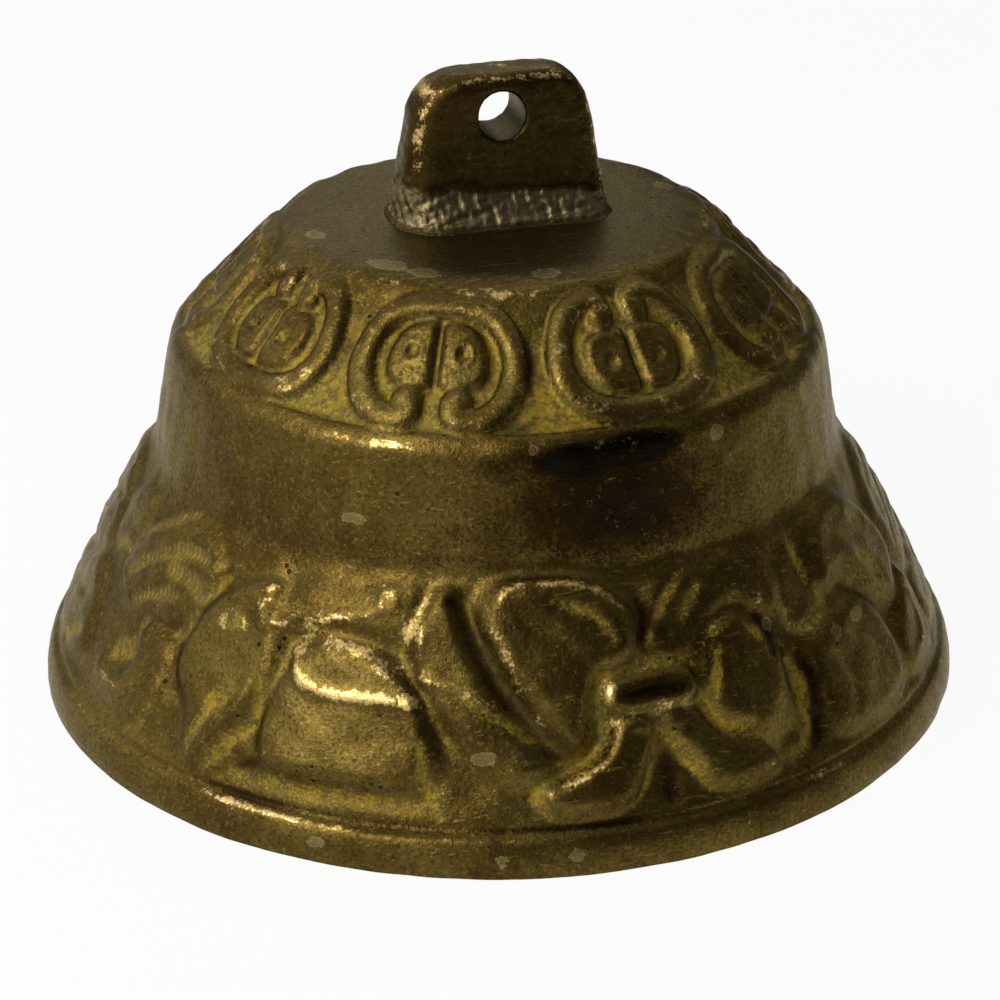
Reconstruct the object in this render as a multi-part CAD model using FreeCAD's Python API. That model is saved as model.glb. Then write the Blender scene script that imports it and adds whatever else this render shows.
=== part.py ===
import FreeCAD, Part
import math
import os

os.makedirs("parts", exist_ok=True)

# Lengths are in millimetres. The rim stands on the plane z = 0, the bell's axis is Z, and the
# drilled hole of the lug runs along Y. A name that ends in share or shares is a fraction of
# the size it follows. An outline point is (radius, height).

# Casting, outside
mouth_radius = 40.0
band_height = 4.0
band_edge_chamfer = 0.7
ground_step = 1.8
ground_rise = 0.5
waist_height = 21.3
waist_flare = 1.7
arris_radius = 27.6
arris_height = 30.5
crown_radius = 18.1
crown_height = 40.4
crown_edge_chamfer = 0.5

# Sunk frieze between the arris and the crown
frieze_depth = 0.8
lower_lip = 0.8
upper_lip = 0.9
relief_root = 0.4

# Scroll medallions of the frieze. Each is an open oval band with both ends hooked inward, round
# two lobes that are one oval with a slot. Widths run across the shoulder and rises up its slope.
half_turn = 180
medallions = 9
first_medallion_turn = -26.2
medallion_half_width = 6.9
medallion_half_rise = 5.35
medallion_side_radius = 4.4
scroll_band = 2.0
scroll_opening = 2.4
hook_width = 2.3
hook_length = 3.2
lobe_half_width = 2.7
lobe_half_rise = 2.3
lobe_side_radius = 1.9
lobe_gap = 0.5
lobe_lift = 0.75

# Leaves, fruit and ribbons on the skirt. Each lies between two tips and bows out to its left and
# right. A tip is a share of a half turn from the front and a share of the ground's slope, and a
# bow is a share of the distance between the tips. The same forms stand on the other half.
leaf_height = 1.0
leaf_reach = 3.0
leaf_shares = [
    (-0.465, 0.56, -0.329, 0.70, 0.38, 0.22),
    (-0.426, 0.03, -0.359, 0.43, 0.22, 0.42),
    (-0.309, 0.03, -0.262, 0.83, 0.36, 0.23),
    (-0.241, 0.50, -0.128, 0.22, 0.36, 0.42),
    (-0.268, 0.70, -0.143, 0.87, 0.18, 0.18),
    (-0.129, 0.89, -0.052, 0.16, 0.06, 0.27),
    (-0.087, 0.90, -0.033, 0.26, 0.60, 0.05),
    (0.074, 0.93, 0.033, 0.59, 0.45, 0.32),
    (-0.004, 0.51, 0.062, 0.39, 0.29, 0.28),
    (0.034, 0.34, 0.113, 0.02, 0.16, 0.30),
    (0.027, 0.34, -0.048, 0.02, 0.31, 0.18),
    (0.106, 0.67, 0.111, 0.15, 0.36, 0.42),
    (0.169, 0.36, 0.268, 0.22, 0.36, 0.48),
    (0.222, 0.80, 0.320, 0.56, 0.28, 0.35),
    (0.354, 0.40, 0.463, 0.77, 0.42, 0.34),
    (0.362, 0.20, 0.520, 0.15, 0.28, 0.19),
]

# Casting, inside
rim_wall = 3.2
skirt_wall = 2.9
shoulder_wall = 3.2
crown_wall = 3.0

# Suspension lug
lug_height = 12.2
lug_foot_width = 17.8
lug_foot_depth = 10.6
lug_flare_height = 3.0
lug_width = 16.4
lug_depth = 6.7
lug_top_width = 12.8
lug_top_depth = 5.8
lug_corner_radius = 3.4
lug_edge_chamfer = 0.8
lug_hole_radius = 2.0
lug_hole_height = 8.8

# Staple that carries the clapper. Half is half the bar's width across its flats.
staple_half = 1.1
staple_bend = 3.2
staple_drop = 4.2
staple_socket = 2.2
socket_clearance = 0.02

# Link between the staple and the clapper
link_half = 0.9
link_bend = 2.4
link_straight = 2.5

# Clapper
eye_half = 1.0
eye_bend = 2.3
shank_top_half = 0.85
shank_foot_half = 1.3
shoulder_radius = 2.1
shoulder_height = 1.0
ball_radius = 7.5
ball_flat_radius = 2.3
ball_height = 9.5
ball_bands = 3
tang_radius = 1.1
tang_clearance = 0.03
head_radius = 2.1
head_height = 0.8
head_top_share = 0.55

bar_sides = 8
overrun = 1.0

waist_radius = arris_radius + waist_flare


def outline_point(radius, height):
    return FreeCAD.Vector(radius, 0, height)


def line(start, end):
    return Part.LineSegment(start, end).toShape()


def rounded_edges(corners):
    """Straight edges through (point, radius) corners, with an arc at each radius over zero."""
    edges = []
    here = corners[0][0]
    for place in range(1, len(corners) - 1):
        corner, radius = corners[place]
        before, after = corners[place - 1][0], corners[place + 1][0]
        back = (before - corner).normalize()
        ahead = (after - corner).normalize()
        if radius == 0:
            edges.append(line(here, corner))
            here = corner
            continue
        half = back.getAngle(ahead) / 2
        reach = radius / math.tan(half)
        inward = (back + ahead).normalize()
        start = corner + back * reach
        middle = corner + inward * (radius / math.sin(half) - radius)
        end = corner + ahead * reach
        edges.append(line(here, start))
        edges.append(Part.Arc(start, middle, end).toShape())
        here = end
    edges.append(line(here, corners[-1][0]))
    return edges


def turned_edges(corners):
    """Straight edges through (point, chamfer) corners, each cut back along both its edges."""
    points = [corners[0][0]]
    for place in range(1, len(corners) - 1):
        corner, chamfer = corners[place]
        if chamfer == 0:
            points.append(corner)
            continue
        for neighbour in (corners[place - 1][0], corners[place + 1][0]):
            points.append(corner + (neighbour - corner).normalize() * chamfer)
    points.append(corners[-1][0])
    return [line(start, end) for start, end in zip(points, points[1:])]


def turned(edges):
    """The solid that a closed outline of edges makes when it turns about the bell's axis."""
    wire = Part.Wire(Part.__sortEdges__(edges))
    return Part.Face(wire).revolve(FreeCAD.Vector(), FreeCAD.Vector(0, 0, 1), 360)


def shoulder_frame():
    """The shoulder's two ends, its direction up the slope and its outward normal."""
    foot = outline_point(arris_radius, arris_height)
    head = outline_point(crown_radius, crown_height)
    slope = (head - foot).normalize()
    normal = FreeCAD.Vector(slope.z, 0, -slope.x)
    return foot, head, slope, normal


def ground_foot():
    return outline_point(mouth_radius - ground_step, band_height + ground_rise)


def skirt_frame():
    """The skirt ground's foot, its direction up the slope, its length and its outward normal."""
    foot = ground_foot()
    head = outline_point(waist_radius, waist_height)
    slope = (head - foot).normalize()
    return foot, slope, foot.distanceToPoint(head), FreeCAD.Vector(slope.z, 0, -slope.x)


def outside_edges():
    """From the rim up over the band, skirt, waist and sunk frieze to the middle of the crown."""
    foot, head, slope, normal = shoulder_frame()
    sunk = normal * -frieze_depth
    lower = foot + slope * lower_lip
    upper = head - slope * upper_lip
    corners = [
        (outline_point(mouth_radius, 0), 0),
        (outline_point(mouth_radius, band_height), band_edge_chamfer),
        (ground_foot(), 0),
        (outline_point(waist_radius, waist_height), 0),
        (foot, 0),
        (lower, 0),
        (lower + sunk, 0),
        (upper + sunk, 0),
        (upper, 0),
        (head, crown_edge_chamfer),
        (outline_point(0, crown_height), 0),
    ]
    return turned_edges(corners)


def inside_edges():
    """From the mouth to the axis, one wall inside the relief grounds."""
    foot, head, slope, normal = shoulder_frame()
    roof = crown_height - crown_wall
    knee = foot - normal * shoulder_wall
    roof_edge = knee + slope * ((roof - knee.z) / slope.z)
    corners = [
        (outline_point(mouth_radius - rim_wall, 0), 0),
        (outline_point(waist_radius - skirt_wall, waist_height), 0),
        (knee, 0),
        (roof_edge, 0),
        (outline_point(0, roof), 0),
    ]
    return turned_edges(corners)


def staple_axis_height():
    """Height of the bar's centre at the bottom of the staple."""
    return crown_height - crown_wall - staple_drop


def bar_corners(centre, along, outward, half):
    """Corners of the section of an eight-sided bar, with a flat on its outward side."""
    side = along.cross(outward)
    reach = half / math.cos(math.pi / bar_sides)
    corners = []
    for step in range(bar_sides):
        angle = (2 * step + 1) * math.pi / bar_sides
        offset = outward * math.cos(angle) + side * math.sin(angle)
        corners.append(centre + offset * reach)
    return corners


def flat_face(corners):
    return Part.Face(Part.makePolygon(corners + corners[:1]))


def flat_sided(sections):
    """A solid with a flat face between each pair of sides of the sections that follow on."""
    faces = [flat_face(sections[0]), flat_face(sections[-1])]
    for lower, upper in zip(sections, sections[1:]):
        for place in range(len(lower)):
            corners = [lower[place - 1], lower[place], upper[place], upper[place - 1]]
            faces.append(flat_face(corners))
    return Part.Solid(Part.Shell(faces))


def straight_bar(foot, head, foot_half, head_half):
    """An upright bar that tapers from one half width to the other."""
    up, outward = FreeCAD.Vector(0, 0, 1), FreeCAD.Vector(1, 0, 0)
    return flat_sided(
        [
            bar_corners(foot, up, outward, foot_half),
            bar_corners(head, up, outward, head_half),
        ]
    )


def bent_bar(centre, axis, start, half, angle):
    """A bar bent about an axis through centre, from its section at start."""
    outward = (start - centre).normalize()
    section = flat_face(bar_corners(start, axis.cross(outward), outward, half))
    return section.revolve(centre, axis, angle)


def staple_legs(half, start_height, end_height):
    legs = []
    for side in (-1, 1):
        foot = FreeCAD.Vector(side * staple_bend, 0, start_height)
        head = FreeCAD.Vector(side * staple_bend, 0, end_height)
        legs.append(straight_bar(foot, head, half, half))
    return legs


def bell_casting():
    roof = crown_height - crown_wall
    outer_rim = outline_point(mouth_radius, 0)
    inner_rim = outline_point(mouth_radius - rim_wall, 0)
    axis_line = line(outline_point(0, roof), outline_point(0, crown_height))
    closing = [line(outer_rim, inner_rim), axis_line]
    blank = turned(outside_edges() + inside_edges() + closing)
    sockets = staple_legs(
        staple_half + socket_clearance, roof - overrun, roof + staple_socket
    )
    return blank.cut(sockets).multiFuse(frieze() + foliage())


def relief_band(foot, head, normal, height):
    """A ring that stands on a sloping ground, from just inside it to the relief's height."""
    inside = normal * -relief_root
    outside = normal * height
    points = [foot + inside, head + inside, head + outside, foot + outside]
    ends = points[1:] + points[:1]
    return turned([line(start, end) for start, end in zip(points, ends)])


def on_slope(middle, slope, normal, angle):
    """Placement that lays XY on the slope at middle, with Z outward, then turns it round."""
    across = slope.cross(normal)
    rotation = FreeCAD.Rotation(across, slope, normal, "ZXY")
    laid = FreeCAD.Placement(middle, rotation)
    turn = FreeCAD.Rotation(FreeCAD.Vector(0, 0, 1), angle - 90)
    return FreeCAD.Placement(FreeCAD.Vector(), turn).multiply(laid)


def oval(half_width, half_rise, side_radius):
    """An oval face of four arcs that run into each other."""
    offset = half_width - side_radius
    end_radius = (offset**2 + half_rise**2 - side_radius**2) / (
        2 * (half_rise - side_radius)
    )
    drop = end_radius - half_rise
    reach = math.hypot(offset, drop)
    x = offset + side_radius * offset / reach
    y = side_radius * drop / reach
    joints = [(x, -y), (x, y), (-x, y), (-x, -y), (x, -y)]
    middles = [(half_width, 0), (0, half_rise), (-half_width, 0), (0, -half_rise)]
    edges = []
    for place, middle in enumerate(middles):
        start, end = joints[place], joints[place + 1]
        points = [FreeCAD.Vector(px, py, 0) for px, py in (start, middle, end)]
        edges.append(Part.Arc(*points).toShape())
    return Part.Face(Part.Wire(edges))


def raised(face, deep):
    """A face in the plane XY made into a block, half above and half below it."""
    face.translate(FreeCAD.Vector(0, 0, -deep / 2))
    return face.extrude(FreeCAD.Vector(0, 0, deep))


def scroll(deep):
    """One medallion that opens downward, as blocks in the plane XY: its band and two lobes."""
    outer = oval(medallion_half_width, medallion_half_rise, medallion_side_radius)
    inner = oval(
        medallion_half_width - scroll_band,
        medallion_half_rise - scroll_band,
        medallion_side_radius - scroll_band,
    )
    opening = Part.makePlane(
        scroll_opening,
        medallion_half_rise + overrun,
        FreeCAD.Vector(-scroll_opening / 2, -medallion_half_rise - overrun, 0),
    )
    hooks = Part.makePlane(
        scroll_opening + 2 * hook_width,
        hook_length,
        FreeCAD.Vector(-scroll_opening / 2 - hook_width, -medallion_half_rise, 0),
    )
    ring = raised(outer.cut(inner), deep)
    band = ring.fuse(raised(hooks.common(outer), deep)).cut(raised(opening, deep))
    whole = oval(lobe_half_width, lobe_half_rise, lobe_side_radius)
    slot = Part.makePlane(
        lobe_gap, 2 * lobe_half_rise, FreeCAD.Vector(-lobe_gap / 2, -lobe_half_rise, 0)
    )
    lobes = whole.cut(slot)
    lobes.translate(FreeCAD.Vector(0, lobe_lift, 0))
    return Part.makeCompound(band.removeSplitter().Solids + raised(lobes, deep).Solids)


def frieze():
    """The medallions on the sunk ground of the shoulder, opening downward and upward in turn."""
    foot, head, slope, normal = shoulder_frame()
    sunk = normal * -frieze_depth
    lower = foot + slope * lower_lip + sunk
    upper = head - slope * upper_lip + sunk
    ring = relief_band(lower, upper, normal, frieze_depth)
    opens_downward = scroll(frieze_depth + medallion_half_width)
    opens_upward = opens_downward.copy()
    opens_upward.rotate(FreeCAD.Vector(), FreeCAD.Vector(0, 0, 1), half_turn)
    pieces = []
    for place in range(medallions):
        block = (opens_downward, opens_upward)[place % 2].copy()
        angle = first_medallion_turn + place * 2 * half_turn / medallions
        block.Placement = on_slope((lower + upper) / 2, slope, normal, angle).multiply(
            block.Placement
        )
        pieces.extend(block.common(ring).Solids)
    return pieces


def foliage():
    """The leaves, fruit and ribbons on the skirt's ground, on both halves."""
    foot, slope, length, normal = skirt_frame()
    ring = relief_band(foot, foot + slope * length, normal, leaf_height)
    pieces = []
    for shares in leaf_shares:
        first = leaf(*shares).common(ring)
        second = first.copy()
        second.rotate(FreeCAD.Vector(), FreeCAD.Vector(0, 0, 1), half_turn)
        pieces.extend(first.Solids + second.Solids)
    return pieces


def leaf(first_turn, first_rise, last_turn, last_rise, left_bow, right_bow):
    """A block with two arched sides, square to the skirt's ground midway between its tips."""
    foot, slope, length, normal = skirt_frame()
    middle = (first_turn + last_turn) / 2
    tips = []
    for turn, rise in ((first_turn, first_rise), (last_turn, last_rise)):
        place = foot + slope * (length * rise)
        angle = math.pi * (turn - middle)
        aside = place.x * math.sin(angle)
        here = FreeCAD.Vector(place.x * math.cos(angle), aside, place.z)
        tips.append(here - normal * (here - foot).dot(normal))
    start, end = tips
    centre = (start + end) / 2
    left = normal.cross(end - start)
    sides = [
        Part.Arc(start, centre + left * left_bow, end).toShape(),
        Part.Arc(end, centre - left * right_bow, start).toShape(),
    ]
    face = Part.Face(Part.Wire(sides))
    face.translate(normal * -leaf_reach)
    block = face.extrude(normal * (2 * leaf_reach))
    turned_to = half_turn * middle - half_turn / 2
    block.rotate(FreeCAD.Vector(), FreeCAD.Vector(0, 0, 1), turned_to)
    return block


def lug_outline(foot_half, top_half, rounding):
    """One view of the lug as a face: straight sides and a round top, all as wide as the foot."""
    foot = outline_point(foot_half, crown_height)
    corners = [
        (foot, 0),
        (outline_point(foot_half, crown_height + lug_flare_height), 0),
        (outline_point(top_half, crown_height + lug_height), rounding),
        (outline_point(-top_half, crown_height + lug_height), rounding),
        (outline_point(-foot_half, crown_height + lug_flare_height), 0),
        (outline_point(-foot_half, crown_height), 0),
    ]
    return Part.Face(Part.Wire(rounded_edges(corners) + [line(corners[-1][0], foot)]))


def lug_section(width, depth, height):
    """A level outline of the lug, a rectangle with its corners cut off."""
    x, y = width / 2, depth / 2
    cut = lug_edge_chamfer
    outline = []
    for across, along in ((1, -1), (1, 1), (-1, 1), (-1, -1)):
        near = FreeCAD.Vector(across * (x - cut), along * y, crown_height + height)
        far = FreeCAD.Vector(across * x, along * (y - cut), crown_height + height)
        outline.extend((near, far) if across * along < 0 else (far, near))
    return outline


def suspension_lug():
    """A tapered plate with a flared foot and a rounded top, drilled for a cord or hook."""
    sections = [
        lug_section(lug_foot_width, lug_foot_depth, 0),
        lug_section(lug_width, lug_depth, lug_flare_height),
        lug_section(lug_top_width, lug_top_depth, lug_height),
    ]
    body = flat_sided(sections)
    front = lug_outline(lug_foot_width / 2, lug_top_width / 2, lug_corner_radius)
    front.translate(FreeCAD.Vector(0, -lug_foot_depth / 2, 0))
    plate = front.extrude(FreeCAD.Vector(0, lug_foot_depth, 0))
    return body.common(plate).cut(lug_hole())


def lug_hole():
    start = FreeCAD.Vector(
        0, -lug_foot_depth / 2 - overrun, crown_height + lug_hole_height
    )
    length = lug_foot_depth + 2 * overrun
    return Part.makeCylinder(lug_hole_radius, length, start, FreeCAD.Vector(0, 1, 0))


def clapper_staple():
    """A bar bent to a U, with its two legs up in the crown's sockets."""
    centre = FreeCAD.Vector(0, 0, staple_axis_height() + staple_bend)
    start = centre + FreeCAD.Vector(staple_bend, 0, 0)
    bend = bent_bar(centre, FreeCAD.Vector(0, 1, 0), start, staple_half, 180)
    leg_top = crown_height - crown_wall + staple_socket
    legs = staple_legs(staple_half, centre.z, leg_top)
    return bend.multiFuse(legs).removeSplitter()


def clapper_link():
    """An upright oval ring that hangs on the staple and holds the clapper's eye."""
    upper = FreeCAD.Vector(0, 0, staple_axis_height())
    lower = upper - FreeCAD.Vector(0, 0, link_straight)
    side = FreeCAD.Vector(0, link_bend, 0)
    turn = FreeCAD.Vector(1, 0, 0)
    pieces = [
        bent_bar(lower, turn, lower - side, link_half, 180),
        straight_bar(lower + side, upper + side, link_half, link_half),
        straight_bar(lower - side, upper - side, link_half, link_half),
    ]
    crest = bent_bar(upper, turn, upper + side, link_half, 180)
    return crest.multiFuse(pieces).removeSplitter()


def eye_height():
    """Height of the clapper's eye, which turns about the link's lowest bar."""
    return staple_axis_height() - link_straight - link_bend


def ball_flat_height():
    return math.sqrt(ball_radius**2 - ball_flat_radius**2)


def clapper_rod():
    """An eye on a shank, with a shoulder, a tang through the ball and a peened head."""
    centre = FreeCAD.Vector(0, 0, eye_height())
    crest = centre + FreeCAD.Vector(0, 0, eye_bend)
    eye = bent_bar(centre, FreeCAD.Vector(0, 1, 0), crest, eye_half, 360)
    ball_top = ball_height + ball_flat_height()
    ball_bottom = ball_height - ball_flat_height()
    shoulder_top = ball_top + shoulder_height
    shank = straight_bar(
        FreeCAD.Vector(0, 0, shoulder_top),
        centre - FreeCAD.Vector(0, 0, eye_bend),
        shank_foot_half,
        shank_top_half,
    )
    corners = [
        (outline_point(0, shoulder_top), 0),
        (outline_point(shoulder_radius, shoulder_top), 0),
        (outline_point(shoulder_radius, ball_top), 0),
        (outline_point(tang_radius, ball_top), 0),
        (outline_point(tang_radius, ball_bottom), 0),
        (outline_point(head_radius, ball_bottom), 0),
        (outline_point(head_radius, ball_bottom - head_height / 2), 0),
        (outline_point(head_radius * head_top_share, ball_bottom - head_height), 0),
        (outline_point(0, ball_bottom - head_height), 0),
        (outline_point(0, shoulder_top), 0),
    ]
    return eye.multiFuse([shank, turned(turned_edges(corners))]).removeSplitter()


def clapper_ball():
    """The striker, turned in flat bands to a ball and drilled for the tang."""
    bore = tang_radius + tang_clearance
    end_angle = math.asin(ball_flat_height() / ball_radius)
    corners = [(outline_point(bore, ball_height - ball_flat_height()), 0)]
    for step in range(ball_bands + 1):
        angle = end_angle * (2 * step / ball_bands - 1)
        radius = ball_radius * math.cos(angle)
        height = ball_height + ball_radius * math.sin(angle)
        corners.append((outline_point(radius, height), 0))
    corners.append((outline_point(bore, ball_height + ball_flat_height()), 0))
    corners.append(corners[0])
    return turned(turned_edges(corners))


nodes = {
    "bell_casting": bell_casting,
    "suspension_lug": suspension_lug,
    "clapper_staple": clapper_staple,
    "clapper_link": clapper_link,
    "clapper_rod": clapper_rod,
    "clapper_ball": clapper_ball,
}
for name, make in nodes.items():
    shape = make()
    shape.exportStep(os.path.join("parts", name + ".step"))
    print(name, len(shape.Solids), shape.isValid(), round(shape.Volume, 3))
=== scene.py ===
import math
from functools import partial
import bpy
import numpy as np
from mathutils import Matrix, Vector


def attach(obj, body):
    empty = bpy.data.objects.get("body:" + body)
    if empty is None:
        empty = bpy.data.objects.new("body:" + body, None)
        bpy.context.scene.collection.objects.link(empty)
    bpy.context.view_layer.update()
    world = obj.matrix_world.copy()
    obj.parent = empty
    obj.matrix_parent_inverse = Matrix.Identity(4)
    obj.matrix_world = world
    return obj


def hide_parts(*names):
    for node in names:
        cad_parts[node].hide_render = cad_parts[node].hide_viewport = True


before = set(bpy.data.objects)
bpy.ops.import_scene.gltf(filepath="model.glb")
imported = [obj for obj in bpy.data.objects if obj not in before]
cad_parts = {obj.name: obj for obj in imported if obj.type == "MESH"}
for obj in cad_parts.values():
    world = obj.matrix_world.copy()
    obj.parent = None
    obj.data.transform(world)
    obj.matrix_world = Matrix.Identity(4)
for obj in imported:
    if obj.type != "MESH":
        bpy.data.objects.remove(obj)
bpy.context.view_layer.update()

# Lengths are in millimetres until a mesh is made, and MM turns them into metres. A turn on the
# bell is in degrees from the side that faces the camera, and grows to the right.
MM = 0.001
CAMERA_TURN = -14.7

# Casting. A place on its outside is a turn and a distance along the outline from the rim.
# Outline: (distance, radius, height), without the relief.
OUTLINE = [(0, 39.86, 0), (0.22, 39.96, 0.12), (0.6, 39.98, 0.5), (1.5, 39.84, 1.5),
    (2.6, 39.5, 2.58), (3.1, 39.24, 3), (3.35, 39, 3.14), (3.6, 38.68, 3.26), (3.85, 38.44, 3.4),
    (4.1, 38.32, 3.64), (4.5, 38.2, 4.04), (23.2, 29.42, 20.76), (24.6, 29.12, 22),
    (25.2, 29.04, 22.5), (27.8, 28.6, 25), (30.8, 28.08, 28), (32.4, 27.75, 29.6),
    (33, 27.55, 30.2), (33.5, 27.25, 30.65), (34, 26.92, 30.98), (44.6, 19.53, 38.69),
    (45.3, 19, 39.14), (46, 18.42, 39.54), (46.7, 17.8, 39.86), (47.5, 17.04, 40.13),
    (48.3, 16.26, 40.3), (49.2, 15.38, 40.38), (50.4, 14.18, 40.4), (56, 8.58, 40.4),
    (62.6, 2, 40.4)]
INSIDE = [(37.05, 0), (36.8, 0.1), (36.68, 0.4), (33.4, 7.1), (29.9, 14.2), (26.8, 20.5),
    (26.3, 21.8), (25.5, 27.2), (25.1, 28.5), (21.5, 32.3), (17.2, 36.8), (16.4, 37.3),
    (15.5, 37.4), (8, 37.4), (1.5, 37.4)]
# Heights of the crown and of the roof inside, and the distance before which nothing stands out.
CROWN_HEIGHT, ROOF_HEIGHT, RIM_TOP = 40.4, 37.4, 3
COLUMNS = 630
# Rows of points along the outline, as (first distance, last distance, count).
ROW_STEPS = [(0, 0.22, 1), (0.22, 2.6, 3), (2.6, 4.5, 9), (4.5, 24, 57), (24, 32, 10),
    (32, 34.2, 7), (34.2, 47.7, 44), (47.7, 51.5, 6), (51.5, 62.6, 3)]

# Where the skirt's relief, its ageing and the painted shade over the rim begin and end: they come
# in between the first two distances and go out between the last two.
RELIEF_ENDS, SKIRT_ENDS = (3.9, 4.7, 22.6, 24), (4.2, 4.8, 23, 24)
LEDGE_SHADE = (3.4, 3.8, 4, 4.6)
# Unevenness of the cast skin, as (size, length, seed).
CAST_SKIN = [(0.055, 11, 1), (0.035, 3.6, 2), (0.009, 1.5, 8)]

# Skirt relief: forms that rise from the ground, as (height, edge width) and then the turn and the
# distance of each point of the outline.
SKIRT_MM_A_DEGREE = 0.585
SKIRT_PERIOD = 180.0
# How sharply forms join where they meet, and the most that they rise together.
PAD_JOIN, PAD_LIMIT = 3.0, 1.4
PAD_EDGE_SHARE, LINE_GAIN = 1.2, 1.55
PADS = [
    (0.6, 1.4, -69, 15.5, -64, 20, -56, 22.6, -47, 21.4, -44.5, 18.2, -48, 15, -56, 13.6, -64,
     13.4),
    (0.8, 1.3, -57, 12.6, -50, 13, -48, 9.5, -50.5, 5.6, -62, 5.5, -64, 7.6, -58, 8, -56, 10),
    (1.15, 2.3, -47, 12, -45.5, 16, -42, 19, -37, 20.8, -32.5, 20.6, -30.6, 17, -30.4, 12.5, -34.5,
     8.5, -38, 5.4, -41, 5.4, -42.5, 8.5),
    (1.1, 1.5, -28.6, 14.8, -26, 16.5, -20, 17, -14, 15.7, -9.4, 12.8, -8.3, 8.5, -12, 6.7, -20,
     6.5, -29, 6.8, -31, 10),
    (0.66, 2, -33.5, 17.6, -31.5, 20.2, -28, 21.2, -21, 21, -15.5, 22.2, -11, 21.4, -11.5, 18.4,
     -21, 17.7),
    (1, 1.6, -10.6, 15.4, -12.2, 19, -8.5, 21.9, -5.4, 20.8, -1.2, 15.4, 4.8, 9.9, 5.4, 8, 1, 7.6,
     -5.5, 11),
    (1.35, 2.4, -2.4, 20, 0.2, 22.5, 8, 23.1, 15, 21.8, 18.6, 19, 17.8, 16, 13.2, 15, 11.2, 12,
     8.8, 9.8, 4, 13.2, -0.8, 17.6),
    (0.55, 2.2, 20.6, 16.2, 20.6, 19.6, 23, 21.8, 28, 22.4, 32, 20.4, 30, 17, 25, 15.4),
    (1.25, 1, 13.9, 12.4, 13.9, 14.6, 20, 15.1, 25.6, 14.6, 25.8, 12.3, 20, 12.1),
    (1, 1.3, 20.8, 11.4, 25.8, 11.3, 28.7, 8.9, 33.4, 7.4, 35, 5.2, 26.2, 5.2, 23.4, 8),
    (1, 1.3, 19.6, 11.4, 15.4, 11.6, 13.4, 9.2, 8.2, 7.4, 5, 7, 6, 5.2, 14.6, 5.2, 18.2, 8.2),
    (1.1, 2.4, 27, 12.6, 29.4, 16, 33.8, 17.6, 38, 16, 40.4, 12.5, 38.6, 9.1, 34.6, 7.7, 29.6,
     9.1),
    (0.55, 1.2, 30.4, 18, 35, 18.6, 42.6, 16.6, 43, 20.6, 37, 22.4, 32, 21.6),
    (0.9, 1.6, 45.2, 12.4, 45.4, 7, 48.6, 5.2, 60, 5.2, 64, 9, 59, 14.5, 50, 13.6),
    (0.85, 1.6, 52.6, 16.6, 54.6, 20.8, 62, 22.4, 70, 20.4, 74.5, 15, 69.5, 11.4, 64, 13.4, 59.5,
     16.8),
    (0.8, 1.5, 65.5, 5.4, 64.5, 8.5, 69.5, 10.8, 75, 12.4, 77, 8.6, 75, 5.2),
    (0.6, 1.8, 78.5, 12, 77.5, 18, 84, 21.6, 92, 21.8, 98, 19.5, 100, 15, 95, 12.5, 86, 11),
    (0.62, 1.6, 80, 5.4, 79, 9, 86, 10.2, 95, 11.4, 102, 13.6, 108, 11.6, 110, 7.4, 104, 5.2, 92,
     5),
    (0.45, 1.6, 102.5, 15.6, 101, 19.4, 106, 21.6, 112, 21, 109.5, 17.2),
]
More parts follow.
